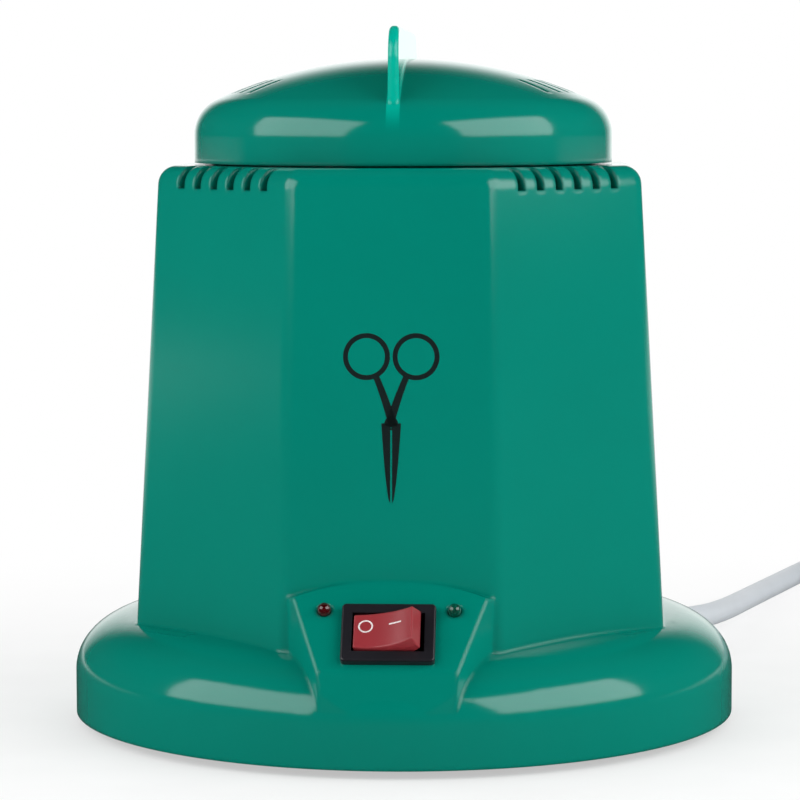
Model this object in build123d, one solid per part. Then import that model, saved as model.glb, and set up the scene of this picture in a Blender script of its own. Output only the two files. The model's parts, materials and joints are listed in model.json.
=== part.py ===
"""Dry heat sterilizer for small salon tools: a plastic pot with a heated bead chamber.

A one-piece housing (round flange, tapered eight-sided body, sloped switch pod) stands on four
rubber feet. A lift-off domed lid with an upright crest covers a metal pot, which hangs from a
deck plate and is heated by a clamped band. A rocker switch and two pilot lamps sit in the pod,
and the mains cord leaves the flange at the rear right.

Front is -Y and up is +Z. The table is z = 0 and the flange's axis is the Z axis. Millimetres.
"""
from build123d import *
from math import atan2, cos, degrees, hypot, pi, radians, sin, sqrt, tan
import os

# Driving dimensions of the housing
base_dia = 160.0
wall = 2.5
rim_upright = 10.0
shoulder_run = 14.0
shoulder_rise = 13.4
deck_slope = 0.15
body_height = 132.2
body_root = 24.2
root_apothem = 62.6
root_half_facet = 24.5
top_apothem = 56.7
top_half_facet = 22.6
edge_round = 4.5
top_round = 4.5
mouth_dia = 87.0
seam_gap = 0.3

# Shoulder vents, a row on each diagonal facet
vent_count = 6
vent_pitch = 6.0
vent_width = 2.3
vent_depth = 5.2
vent_inner_radius = 51.8

# Switch pod
panel_front = 77.25
panel_lift = 21.75
panel_slope = 49.0
panel_low_half = 15.8
panel_high_half = 22.0
panel_side = 19.15
panel_length = 23.9
panel_wall = 2.2
pod_draft = 12.7
pod_edge_round = 0.8
pod_root = 2.0
pod_set_in = 0.3

# Feet and base plate
foot_dia = 14.0
foot_stand = 2.0
foot_recess = 0.9
foot_circle = 62.0
foot_edge = 0.6
foot_azimuths = (45, 135, 225, 315)
plate_thickness = 2.5
plate_inset = 0.6
base_screw_circle = 66.0
base_screw_azimuths = (15, 165, 195, 345)
base_boss_dia = 7.5
base_head_dia = 6.0
base_slot_width = 3.0
base_slot_circle = 24.0

# Lid
lid_dia = 100.7
lid_wall = 2.2
lid_upright = 7.1
lid_height = 25.2
lid_cap_radius = 109.0
lid_reveal = 0.4
skirt_depth = 4.0
skirt_wall = 1.8
skirt_clearance = 0.4
seat_ring_width = 2.8
seat_ring_height = 3.0
lid_vents = 9
lid_vent_step = 8.0
lid_vent_width = 1.4
lid_vent_inner = 33.2
lid_vent_outer = 41.4

# Crest on the lid
crest_reach = 47.0
crest_height = 32.2
crest_foot_thickness = 2.8
crest_top_thickness = 2.3
crest_corner = 7.0

# Chamber, heater and deck plate
pot_bore = 50.0
pot_depth = 72.0
pot_wall = 2.0
pot_floor = 3.0
pot_rim_dia = 68.0
pot_rim_thickness = 2.0
deck_drop = 6.5
deck_thickness = 1.0
deck_dia = 102.0
deck_screw_circle = 47.5
deck_boss_dia = 7.0
pot_screw_circle = 30.5
pot_screw_count = 3
rivet_count = 3
rivet_dia = 3.2
rivet_head_dia = 6.0
rivet_head_height = 0.9
band_thickness = 3.0
band_height = 45.0
band_lift = 6.0
band_gap = 6.0
band_ear = 9.0
band_ear_thickness = 1.2
blanket_thickness = 7.0
blanket_height = 52.0
shield_thickness = 0.6
shield_lip = 5.0
shield_flange = 5.8
clamp_window = 26.0
band_ear_hole_radius = 36.0
pot_screw_start = 90.0
pot_screw_length = 7.0
rivet_start = 45.0
nut_height = 2.4
nut_across = 5.5
layer_gap = 0.3

# Thermostat and thermal fuse under the pot
disc_dia = 16.0
disc_height = 9.0
strap_thickness = 0.8
strap_width = 8.0
strap_hole_pitch = 28.0
fuse_dia = 4.0
fuse_length = 12.0
fuse_offset = 14.5
clip_width = 6.0
clip_foot = 7.0
disc_cap = 3.0
disc_tab = 8.0
strap_arm = 1.0
strap_pilot_depth = 2.5

# Screws
screw_dia = 3.0
screw_head_dia = 5.6
screw_head_height = 2.0
screw_hole_gap = 0.4
thread_gap = 0.1
base_pilot_depth = 12.0
deck_pilot_depth = 5.3
base_sink = 1.2

# Rocker switch
bezel_length = 21.0
bezel_width = 15.0
bezel_height = 1.8
barrel_length = 18.9
barrel_width = 12.7
barrel_depth = 13.0
cutout_gap = 0.15
bezel_corner = 1.0
bezel_edge = 0.5
wing_reach = 0.7
switch_up_panel = 9.3
rocker_length = 15.2
rocker_width = 9.3
rocker_top_length = 13.8
rocker_top_width = 8.3
rocker_end_height = 2.5
rocker_saddle = 1.4
rocker_keel = 4.0
rocker_gap = 0.35
rocker_end_gap = 0.5
rocker_skirt = 1.2
rocker_keel_half = 3.0
rocker_edge = 0.35
rocker_well = 9.0
rocker_tilt = 17.0
pivot_drop = 1.5
pivot_dia = 2.0
pivot_gap = 0.05
pivot_reach = 1.0
pivot_skin = 0.3
tab_width = 4.8
tab_thickness = 0.8
tab_length = 8.0
tab_pitch = 7.0

# Pilot lamps
lamp_dia = 3.0
lamp_spread = 14.6
lamp_up_panel = 15.8
lamp_stand = 0.6
lamp_collar_dia = 4.6
lamp_collar_height = 1.0
lamp_tail_dia = 3.8
lamp_tail = 7.0
lamp_gap = 0.2
lamp_sleeve_wall = 0.9
holder_dia = 5.5
holder_height = 3.0

# Mains cord and its way out of the flange
cord_dia = 6.2
cord_azimuth = 50.0
cord_height = 9.8
cord_hole_dia = 8.0
relief_length = 24.0
relief_collar_dia = 11.0
relief_collar = 2.0
relief_root_dia = 9.6
relief_tip_dia = 7.8
relief_inner_dia = 9.2
relief_ribs = 4
tail_inner_radius = 49.0
core_dia = 2.2
core_length = 6.0
core_pitch = 3.0

# Cord clamp and terminal block on the base plate
clamp_radius = 60.0
clamp_width = 8.0
clamp_length = 22.0
clamp_thickness = 2.2
clamp_split = 0.6
clamp_hole_offset = 7.6
clamp_pilot_depth = 5.5
block_radius = 34.0
block_length = 30.0
block_depth = 18.0
block_height = 8.0
block_tower = 5.0
block_tower_length = 7.6
block_foot = 3.0
block_foot_dia = 6.0
block_way_pitch = 10.0
block_hole_dia = 3.4
block_ways = 3
wire_screw_dia = 3.2
block_pilot_depth = 5.0
clamp_ear = 2.5
relief_seat = 0.4

# The cord's route outside, from the relief's tip to the coil, chosen by hand
cord_route = [
    (77.0, 92.0, 8.9),
    (84.4, 114.0, 7.4),
    (92.0, 143.7, 5.7),
    (101.9, 179.0, 4.1),
    (112.9, 213.6, 3.2),
    (121.3, 235.2, 3.3),
]
# Put-away coil: rows beside each other, layers on each other, turning clockwise from the route
coil_centre = (162.0, 228.0)
coil_mid_radius = 34.0
coil_rows = 2
coil_layers = 3
coil_entry_azimuth = 150.0
tie_azimuth = 65.0
tie_width = 5.0
tie_thickness = 0.9
tie_gap = 0.2
# The short lead from the coil to the plug, chosen by hand
plug_route = [
    (198.6, 214.0, 9.4),
    (196.5, 200.0, 8.2),
    (192.5, 187.0, 7.2),
]
plug_tail = (188.0, 176.0)
plug_heading = -112.0
plug_length = 36.0
plug_width = 35.3
plug_thickness = 13.7
plug_shoulder = 18.0
plug_back_width = 17.0
plug_back_thickness = 11.5
plug_neck_length = 16.0
plug_neck_dia = 10.0
plug_neck_tip_dia = 8.0
pin_dia = 4.0
pin_length = 19.0
pin_pitch = 18.6
pin_nose = 0.8

# Places that follow from the sizes above
rim_z = foot_stand
wall_top_z = rim_z + rim_upright
root_z = rim_z + body_root
top_z = rim_z + body_height
plate_low_z = rim_z + plate_inset
plate_top_z = plate_low_z + plate_thickness
deck_top_z = top_z - deck_drop
deck_low_z = deck_top_z - deck_thickness
panel_s = sin(radians(panel_slope))
panel_c = cos(radians(panel_slope))
panel_z = rim_z + panel_lift
pod_arch_rise = (panel_length - panel_side) * panel_s
pod_apex_z = panel_z + panel_length * panel_s
pod_arch_radius = (panel_high_half**2 + pod_arch_rise**2) / (2 * pod_arch_rise)
panel = Plane(origin=(0, -panel_front, panel_z), x_dir=(1, 0, 0), z_dir=(0, -panel_s, panel_c))
switch_place = panel * Pos(0, switch_up_panel, 0)
screw_hole_dia = screw_dia + screw_hole_gap
pilot_dia = screw_dia + thread_gap
lamp_hole_dia = lamp_dia + lamp_gap
lamp_socket_dia = holder_dia + lamp_gap
pot_radius = pot_bore / 2 + pot_wall
pot_rim_z = deck_top_z + pot_rim_thickness
pot_floor_z = pot_rim_z - pot_depth
pot_low_z = pot_floor_z - pot_floor
band_low_z = pot_low_z + band_lift
band_radius = pot_radius + layer_gap / 2
band_outer = band_radius + band_thickness
blanket_radius = band_outer + layer_gap
blanket_outer = blanket_radius + blanket_thickness
shield_radius = blanket_outer + layer_gap
shield_outer = shield_radius + shield_thickness
rivet_circle = shield_outer + shield_flange / 2
clip_foot_x = fuse_offset + fuse_dia / 2 + layer_gap + strap_thickness + clip_foot / 2
floor_screw_spots = [(0, -strap_hole_pitch / 2), (0, strap_hole_pitch / 2), (clip_foot_x, 0)]
cord_radius = cord_dia / 2
relief_tip_radius = base_dia / 2 + relief_length
coil_inner = coil_mid_radius - coil_rows * cord_radius
coil_outer = coil_mid_radius + coil_rows * cord_radius
coil_low_z = tie_thickness + tie_gap
coil_top_z = coil_low_z + coil_layers * cord_dia
outer_turn = coil_outer - cord_radius
cord_out = (cos(radians(cord_azimuth)), sin(radians(cord_azimuth)), 0)
clamp_axis = cord_height - plate_top_z
clamp_seat = clamp_axis - clamp_split / 2


def post(radius, low, high, x=0.0, y=0.0):
    """An upright cylinder from one height to another."""
    middle = Pos(x, y, (low + high) / 2)
    return middle * Cylinder(radius, high - low)


def ring(inner, outer, low, high):
    """An upright tube about the Z axis."""
    return post(outer, low, high) - post(inner, low - 1, high + 1)


def spots(radius, azimuths):
    """Points on a circle about the Z axis."""
    return [(radius * cos(radians(a)), radius * sin(radians(a))) for a in azimuths]


def even_azimuths(count, first=0.0):
    """Evenly spaced azimuths, in degrees."""
    return [first + 360 * k / count for k in range(count)]


def meet(p, d, q, e):
    """The point where the line through p along d crosses the line through q along e."""
    share = ((q[0] - p[0]) * e[1] - (q[1] - p[1]) * e[0]) / (d[0] * e[1] - d[1] * e[0])
    return (p[0] + share * d[0], p[1] + share * d[1])


def on_side(points):
    """A face in the YZ plane from (y, z) points."""
    return Face(Wire.make_polygon([(0, y, z) for y, z in points]))


def facet_size(z, at_root, at_top):
    """A body size at height z, straight from its value at the root to its value at the top."""
    return at_root + (at_top - at_root) * (z - root_z) / (top_z - root_z)


def octagon(z, inset):
    """Corners of the eight-sided section at height z, with every side moved in by inset."""
    a = facet_size(z, root_apothem, top_apothem) - inset
    h = facet_size(z, root_half_facet, top_half_facet) - inset * tan(pi / 8)
    plan = [(h, -a), (a, -h), (a, h), (h, a), (-h, a), (-a, h), (-a, -h), (-h, -a)]
    return [(x, y, z) for x, y in plan]


def tapered_body(low, high, inset):
    """The eight-sided body between two heights, as one closed solid of flat facets."""
    floor, roof = octagon(low, inset), octagon(high, inset)
    sides = [(floor[k], floor[(k + 1) % 8], roof[(k + 1) % 8], roof[k]) for k in range(8)]
    faces = [Face(Wire.make_polygon(ring_points)) for ring_points in [floor, roof, *sides]]
    return Solid(Shell(faces))


def upright_edges(solid):
    """Edges that climb from one level to another."""
    return [e for e in solid.edges() if abs((e @ 0).Z - (e @ 1).Z) > wall]


def edges_at(solid, z):
    """Edges that lie wholly at one height."""
    return [e for e in solid.edges() if all(abs((e @ t).Z - z) < 1e-4 for t in (0, 0.5, 1))]


def flange(inset, low):
    """The round flange: an upright wall, a shoulder curve and a gently rising deck."""
    outer = base_dia / 2
    steep = hypot(1, deck_slope)
    end = (outer - shoulder_run, wall_top_z + shoulder_rise)
    end = (end[0] - inset * deck_slope / steep, end[1] - inset / steep)
    start = (outer - inset, wall_top_z)
    lift = 0.55 * (end[1] - start[1])
    reach = 0.55 * (start[0] - end[0])
    outline = [
        Line((0, 0, low), (start[0], 0, low)),
        Line((start[0], 0, low), (start[0], 0, start[1])),
        Bezier(
            (start[0], 0, start[1]),
            (start[0], 0, start[1] + lift),
            (end[0] + reach, 0, end[1] - reach * deck_slope),
            (end[0], 0, end[1]),
        ),
        Line((end[0], 0, end[1]), (0, 0, end[1] + end[0] * deck_slope)),
        Line((0, 0, end[1] + end[0] * deck_slope), (0, 0, low)),
    ]
    return revolve(Face(Wire(outline)), Axis.Z)


def pod(inset, panel_inset, low, drum):
    """The sloped switch pod: a side profile, a narrowing plan and an arched top in one."""
    draft = radians(pod_draft)
    face_point = (-panel_front + panel_inset * panel_s, panel_z - panel_inset * panel_c)
    front_point = (-panel_front + inset * cos(draft), panel_z - inset * sin(draft))
    down = (-sin(draft), -cos(draft))
    nose = meet(face_point, (panel_c, panel_s), front_point, down)
    foot = meet(nose, down, (0, low), (1, 0))
    back = -top_apothem + 3 * wall
    crown = meet(face_point, (panel_c, panel_s), (back, 0), (0, 1))
    side = on_side([nose, crown, (back, low), foot])
    solid = extrude(side, base_dia / 4, dir=(1, 0, 0), both=True)
    narrowing = (panel_high_half - panel_low_half) / (panel_side * panel_c)
    pinch = inset * hypot(1, narrowing)
    near = -base_dia / 2 - wall
    widths = [panel_low_half + narrowing * (y + panel_front) - pinch for y in (near, back)]
    plan = [(-widths[0], near), (widths[0], near), (widths[1], back), (-widths[1], back)]
    outline = Face(Wire.make_polygon([(x, y, low) for x, y in plan]))
    solid = solid & extrude(outline, body_height, dir=(0, 0, 1))
    arch = Cylinder(pod_arch_radius - inset, base_dia, rotation=(90, 0, 0))
    solid = solid & Pos(0, 0, pod_apex_z - pod_arch_radius) * arch
    return solid & post(drum, low - 1, body_height)


def rounded_pod():
    """The pod's outside, with its panel edges and front corners eased."""
    solid = pod(0, 0, wall_top_z - pod_root, base_dia / 2 - pod_set_in)
    probe = (0.1, 0.5, 0.9)
    eased = []
    for edge in solid.edges():
        spots_on = [edge @ t for t in probe]
        on_panel = all(abs(panel.to_local_coords(p).Z) < 1e-3 for p in spots_on)
        forward = all(p.Y < -top_apothem for p in spots_on)
        if on_panel and forward:
            eased.append(edge)
    return fillet(eased, pod_edge_round)


def shoulder_vents():
    """Cutters for the rows of slots over the top edge of the four diagonal facets."""
    low = top_z - vent_depth
    high = top_z + wall
    cutters = []
    for azimuth in (45, 135, 225, 315):
        for k in range(vent_count):
            across = (k - (vent_count - 1) / 2) * vent_pitch
            length = base_dia / 2 - vent_inner_radius
            block = Box(length, vent_width, high - low)
            tip = Cylinder(vent_width / 2, high - low)
            slot = Pos(vent_inner_radius + length / 2, across, (low + high) / 2) * block
            slot += Pos(vent_inner_radius, across, (low + high) / 2) * tip
            cutters.append(Rot(0, 0, azimuth) * slot)
    return cutters


def housing():
    """The one-piece moulding: flange, body and pod outside, one open cavity inside."""
    body = tapered_body(wall_top_z, top_z, 0)
    body = fillet(upright_edges(body), edge_round)
    body = fillet(edges_at(body, top_z), top_round)
    shell = flange(0, rim_z) + body + rounded_pod()
    cavity = tapered_body(plate_top_z, top_z - wall, wall)
    cavity = fillet(upright_edges(cavity), edge_round - wall)
    shell -= flange(wall, rim_z - 1)
    shell -= cavity
    shell -= pod(wall, panel_wall, plate_top_z, base_dia / 2 - wall - pod_set_in)
    # Posts for the base plate's screws and for the deck plate's
    for x, y in spots(base_screw_circle, base_screw_azimuths):
        shell += post(base_boss_dia / 2, plate_top_z, wall_top_z + shoulder_rise - wall / 2, x, y)
    for x, y in spots(deck_screw_circle, even_azimuths(4)):
        shell += post(deck_boss_dia / 2, deck_top_z, top_z - wall / 2, x, y)
    # Sleeves behind the panel for the lamps
    for side in (-1, 1):
        place = panel * Pos(side * lamp_spread, lamp_up_panel, 0)
        depth = panel_wall + lamp_collar_height + holder_height
        collar = Cylinder(lamp_socket_dia / 2 + lamp_sleeve_wall, depth - panel_wall / 2)
        shell += place * Pos(0, 0, -(depth + panel_wall / 2) / 2) * collar
        shell -= place * Pos(0, 0, -(panel_wall + depth + 1) / 2) * Cylinder(
            lamp_socket_dia / 2, depth + 1 - panel_wall
        )
        shell -= place * Cylinder(lamp_hole_dia / 2, 3 * panel_wall)
    # Openings: lid mouth, vents, switch, cord and screw pilots
    shell -= post(mouth_dia / 2, deck_top_z + 1, top_z + 1)
    shell -= shoulder_vents()
    opening = Box(barrel_length + 2 * cutout_gap, barrel_width + 2 * cutout_gap, 4 * panel_wall)
    shell -= switch_place * opening
    shell -= cord_place(base_dia / 2 - wall) * Cylinder(cord_hole_dia / 2, 6 * wall)
    for x, y in spots(base_screw_circle, base_screw_azimuths):
        shell -= post(pilot_dia / 2, plate_top_z - 1, plate_top_z + base_pilot_depth, x, y)
    for x, y in spots(deck_screw_circle, even_azimuths(4)):
        shell -= post(pilot_dia / 2, deck_low_z, deck_top_z + deck_pilot_depth, x, y)
    return shell


def cord_place(radius):
    """A place on the cord's radial line, with its Z axis pointing outwards."""
    origin = (radius * cord_out[0], radius * cord_out[1], cord_height)
    return Plane(origin=origin, x_dir=(0, 0, 1), z_dir=cord_out)


def plate_place(radius):
    """A place on the base plate under the cord, its X axis across the cord."""
    origin = (radius * cord_out[0], radius * cord_out[1], plate_top_z)
    return Plane(origin=origin, x_dir=(-cord_out[1], cord_out[0], 0), z_dir=(0, 0, 1))


clamp_place = plate_place(clamp_radius)
block_place = plate_place(block_radius)
plug_way = (cos(radians(plug_heading)), sin(radians(plug_heading)), 0)
plug_place = Plane(
    origin=(*plug_tail, plug_thickness / 2), x_dir=(-plug_way[1], plug_way[0], 0), z_dir=plug_way
)


def dome(radius, cap_radius, low):
    """A revolved cover: upright wall, tangent shoulder arc and spherical cap."""
    cap_centre = top_z + lid_height - lid_cap_radius
    wall_top = top_z + lid_upright
    rise = wall_top - cap_centre
    arc = (cap_radius**2 - radius**2 - rise**2) / (2 * (cap_radius - radius))
    heading = atan2(rise, radius - arc)
    touch = (cap_radius * cos(heading), cap_centre + cap_radius * sin(heading))
    middle = heading / 2
    bend = (radius - arc + arc * cos(middle), wall_top + arc * sin(middle))
    half = (heading + pi / 2) / 2
    crown = (cap_radius * cos(half), cap_centre + cap_radius * sin(half))
    outline = [
        Line((0, 0, low), (radius, 0, low)),
        Line((radius, 0, low), (radius, 0, wall_top)),
        ThreePointArc((radius, 0, wall_top), (bend[0], 0, bend[1]), (touch[0], 0, touch[1])),
        ThreePointArc(
            (touch[0], 0, touch[1]), (crown[0], 0, crown[1]), (0, 0, cap_centre + cap_radius)
        ),
        Line((0, 0, cap_centre + cap_radius), (0, 0, low)),
    ]
    return revolve(Face(Wire(outline)), Axis.Z)


def crest():
    """The upright fin across the lid, thinner at its top and round at its corners and edges."""
    low = top_z + lid_upright
    high = top_z + crest_height
    lean = atan2((crest_foot_thickness - crest_top_thickness) / 2, high - low)
    plate = Pos(0, 0, (low + high) / 2) * Box(crest_foot_thickness, 2 * crest_reach, high - low)
    corners = [e for e in plate.edges() if abs((e @ 0).Z - high) < 1e-6 and abs((e @ 1).Z - high) < 1e-6]
    corners = [e for e in corners if abs((e @ 0).Y - (e @ 1).Y) < 1e-6]
    plate = fillet(corners, crest_corner)
    for side in (-1, 1):
        hinge = Pos(side * crest_foot_thickness / 2, 0, low) * Rot(0, -side * degrees(lean), 0)
        waste = Box(crest_foot_thickness, 3 * crest_reach, 3 * crest_height)
        plate -= hinge * Pos(side * crest_foot_thickness / 2, 0, 0) * waste
    rim = [e for e in plate.edges() if abs((e @ 0.5).X) > crest_top_thickness / 4 and (e @ 0.5).Z > low + 0.1]
    return fillet(rim, crest_top_thickness * 0.4)


def lid():
    """The domed lid with its crest, a skirt that drops into the mouth and a ring it sits on."""
    inner_radius = lid_dia / 2 - lid_wall
    inside = dome(inner_radius, lid_cap_radius - lid_wall, top_z - 2 * skirt_depth)
    skin = dome(lid_dia / 2, lid_cap_radius, top_z + lid_reveal) - inside
    skirt_outer = mouth_dia / 2 - skirt_clearance
    skirt = ring(skirt_outer - skirt_wall, skirt_outer, top_z - skirt_depth, top_z + lid_height)
    seat_outer = mouth_dia / 2 + seat_ring_width
    skirt += ring(skirt_outer - skirt_wall, seat_outer, top_z, top_z + seat_ring_height)
    skirt = skirt & dome(inner_radius + lid_wall / 2, lid_cap_radius - lid_wall / 2, top_z - skirt_depth)
    cover = skin + skirt + (crest() - inside)
    for side in (0, 180):
        for k in range(lid_vents):
            azimuth = side + (k - (lid_vents - 1) / 2) * lid_vent_step
            span = lid_vent_outer - lid_vent_inner
            slot = Box(span, lid_vent_width, lid_height)
            middle = (lid_vent_outer + lid_vent_inner) / 2
            cover -= Rot(0, 0, azimuth) * Pos(middle, 0, top_z + lid_height) * slot
    return cover


def base_plate():
    """The flat cover that closes the flange: foot recesses, screw holes and air slots."""
    plate = post(base_dia / 2 - wall - seam_gap, plate_low_z, plate_top_z)
    for x, y in spots(foot_circle, foot_azimuths):
        plate -= post(foot_dia / 2 + 0.2, plate_low_z - 1, plate_low_z + foot_recess, x, y)
    for x, y in spots(base_screw_circle, base_screw_azimuths):
        plate -= post(screw_hole_dia / 2, plate_low_z - 1, plate_top_z + 1, x, y)
        plate -= post(base_head_dia / 2 + 0.3, plate_low_z - 1, plate_low_z + base_sink, x, y)
    for k in range(-3, 4):
        across = 2 * k * base_slot_width
        length = 2 * sqrt(base_slot_circle**2 - across**2)
        slot = Pos(across, 0, plate_low_z) * Box(base_slot_width, length, 3 * plate_thickness)
        plate -= slot
    # Pad under the cord clamp and posts under the terminal block
    plate += clamp_place * clamp_pad()
    for side in (-1, 1):
        hole = Cylinder(pilot_dia / 2, 2 * clamp_pilot_depth)
        plate -= clamp_place * Pos(side * clamp_hole_offset, 0, clamp_seat) * hole
        foot = Pos(side * block_way_pitch / 2, 0, block_foot / 2 - seam_gap / 2)
        plate += block_place * foot * Cylinder(block_foot_dia / 2, block_foot + seam_gap)
        bore = Pos(side * block_way_pitch / 2, 0, block_foot) * Cylinder(pilot_dia / 2, 2 * block_pilot_depth)
        plate -= block_place * bore
    return plate


def clamp_pad():
    """The moulded pad with a half-round trough for the cord."""
    pad = Pos(0, 0, clamp_seat / 2 - seam_gap / 2) * Box(clamp_length, clamp_width, clamp_seat + seam_gap)
    return pad - Pos(0, 0, clamp_axis) * cord_trough()


def cord_trough():
    """The space that the cord takes under its clamp."""
    return Cylinder(cord_radius + layer_gap / 6, 2 * clamp_width, rotation=(90, 0, 0))


def screw(length, head_dia=screw_head_dia, head_height=screw_head_height):
    """A cross-recessed screw pointing down, with the underside of its head at z = 0."""
    body = Pos(0, 0, head_height / 2) * Cylinder(head_dia / 2, head_height)
    body = fillet(edges_at(body, head_height), head_height * 0.35)
    body += Pos(0, 0, -length / 2) * Cylinder(screw_dia / 2, length)
    body = chamfer(edges_at(body, -length), screw_dia * 0.2)
    for turn in (0, 90):
        cross = Pos(0, 0, head_height) * Rot(0, 0, turn) * Box(head_dia * 0.55, 0.7, head_height)
        body -= cross
    return body


def screws(places, length, head_dia=screw_head_dia, head_height=screw_head_height):
    """Identical screws as one group of separate solids."""
    one = screw(length, head_dia, head_height)
    return Compound([place * one for place in places])


def base_screws():
    """Four screws up through the base plate into the housing's posts."""
    low = plate_low_z + base_sink
    places = [Pos(x, y, low) * Rot(180, 0, 0) for x, y in spots(base_screw_circle, base_screw_azimuths)]
    return screws(places, base_pilot_depth, base_head_dia, base_sink + plate_inset - seam_gap)


def foot(azimuth):
    """A rubber foot in its recess, eased at its lower edge."""
    x, y = spots(foot_circle, [azimuth])[0]
    pad = post(foot_dia / 2, 0, plate_low_z + foot_recess, x, y)
    return fillet(edges_at(pad, 0), foot_edge)


def deck_plate():
    """The metal plate that carries the pot, screwed up to the housing's top."""
    plate = ring(pot_radius + layer_gap, deck_dia / 2, deck_low_z, deck_top_z)
    circles = [
        (deck_screw_circle, even_azimuths(4), screw_hole_dia),
        (pot_screw_circle, even_azimuths(pot_screw_count, pot_screw_start), screw_hole_dia),
        (rivet_circle, even_azimuths(rivet_count, rivet_start), rivet_dia + thread_gap),
    ]
    for radius, azimuths, hole in circles:
        for x, y in spots(radius, azimuths):
            plate -= post(hole / 2, deck_low_z - 1, deck_top_z + 1, x, y)
    return plate


def deck_screws():
    """Four screws from below, through the deck plate into the housing."""
    length = deck_thickness + deck_pilot_depth - layer_gap
    places = [Pos(x, y, deck_low_z) * Rot(180, 0, 0) for x, y in spots(deck_screw_circle, even_azimuths(4))]
    return screws(places, length)


def chamber_pot():
    """The metal cup for the beads, with a rim that sits on the deck plate."""
    outline = [
        (0, pot_low_z),
        (pot_radius, pot_low_z),
        (pot_radius, deck_top_z),
        (pot_rim_dia / 2, deck_top_z),
        (pot_rim_dia / 2, pot_rim_z),
        (pot_bore / 2, pot_rim_z),
        (pot_bore / 2, pot_floor_z),
        (0, pot_floor_z),
    ]
    cup = revolve(Face(Wire.make_polygon([(r, 0, z) for r, z in outline])), Axis.Z)
    inner = [e for e in edges_at(cup, pot_floor_z) if e.length > pot_bore]
    cup = fillet(inner, pot_floor)
    lip = [e for e in edges_at(cup, pot_rim_z) if e.length > pot_bore]
    cup = fillet(lip, pot_wall * 0.35)
    for x, y in spots(pot_screw_circle, even_azimuths(pot_screw_count, pot_screw_start)):
        cup -= post(screw_hole_dia / 2, deck_low_z, pot_rim_z + 1, x, y)
    for x, y in floor_screw_spots:
        cup -= post(pilot_dia / 2, pot_low_z - 1, pot_low_z + strap_pilot_depth, x, y)
    return cup


def pot_screws():
    """Screws down through the pot's rim and the deck plate."""
    azimuths = even_azimuths(pot_screw_count, pot_screw_start)
    places = [Pos(x, y, pot_rim_z) for x, y in spots(pot_screw_circle, azimuths)]
    return screws(places, pot_screw_length)


def nut(height, across):
    """A hexagon nut on the Z axis, from z = 0 up."""
    hexagon = extrude(RegularPolygon(across / 2, 6, major_radius=False), height)
    return hexagon - Cylinder(pilot_dia / 2, 4 * height)


def pot_nuts():
    """Nuts under the deck plate on the pot's screws."""
    azimuths = even_azimuths(pot_screw_count, pot_screw_start)
    low = deck_low_z - nut_height
    return Compound([Pos(x, y, low) * nut(nut_height, nut_across) for x, y in spots(pot_screw_circle, azimuths)])


def shield_rivets():
    """Rivets that join the heat shield's flange to the deck plate."""
    body = Pos(0, 0, rivet_head_height / 2) * Cylinder(rivet_head_dia / 2, rivet_head_height)
    body = fillet(edges_at(body, rivet_head_height), rivet_head_height * 0.6)
    grip = deck_thickness + shield_thickness
    body += Pos(0, 0, -grip / 2) * Cylinder(rivet_dia / 2, grip)
    body += Pos(0, 0, -grip - rivet_head_height / 2) * Cylinder(rivet_dia * 0.75, rivet_head_height)
    azimuths = even_azimuths(rivet_count, rivet_start)
    return Compound([Pos(x, y, deck_top_z) * body for x, y in spots(rivet_circle, azimuths)])


def heater_band():
    """A split band round the pot with two ears at the back for its clamp screw."""
    low, high = band_low_z, band_low_z + band_height
    band = ring(band_radius, band_outer, low, high)
    for side in (-1, 1):
        x = side * (band_gap / 2 + band_ear_thickness / 2)
        reach = band_ear + band_thickness / 2
        ear = Box(band_ear_thickness, reach, band_height * 0.4)
        band += Pos(x, band_outer - band_thickness / 2 + reach / 2, (low + high) / 2) * ear
    band -= Pos(0, band_radius + band_thickness, (low + high) / 2) * Box(band_gap, 3 * band_thickness, 2 * band_height)
    hole = Cylinder(screw_hole_dia / 2, 4 * band_gap, rotation=(0, 90, 0))
    return band - Pos(0, band_ear_hole_radius, (low + high) / 2) * hole


def band_screw():
    """The clamp screw across the band's ears."""
    reach = band_gap / 2 + band_ear_thickness
    middle = band_low_z + band_height / 2
    place = Pos(reach, band_ear_hole_radius, middle) * Rot(0, 90, 0)
    return place * screw(2 * reach + nut_height + 1)


def band_nut():
    """The nut on the clamp screw."""
    reach = band_gap / 2 + band_ear_thickness
    middle = band_low_z + band_height / 2
    return Pos(-reach - nut_height, band_ear_hole_radius, middle) * Rot(0, 90, 0) * nut(nut_height, nut_across)


def insulation_blanket():
    """The glass-fibre sleeve round the band, open at the back for the clamp."""
    low = pot_low_z + shield_thickness
    blanket = ring(blanket_radius, blanket_outer, low, low + blanket_height)
    return blanket - Pos(0, blanket_outer, low + blanket_height / 2) * Box(clamp_window, 2 * blanket_thickness + 4, 2 * blanket_height)


def heat_shield():
    """A sheet can round the blanket: lip below, flange above, a window for the clamp."""
    low = pot_low_z
    can = ring(shield_radius, shield_outer, low, deck_low_z)
    can += ring(shield_outer - shield_lip - shield_thickness, shield_outer, low, low + shield_thickness)
    can += ring(shield_radius, shield_outer + shield_flange, deck_low_z - shield_thickness, deck_low_z)
    window = Box(clamp_window, 6 * shield_thickness, band_height)
    can -= Pos(0, shield_outer, band_low_z + band_height / 2) * window
    for x, y in spots(rivet_circle, even_azimuths(rivet_count, rivet_start)):
        can -= post((rivet_dia + thread_gap) / 2, low, deck_low_z + 1, x, y)
    return can


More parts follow.
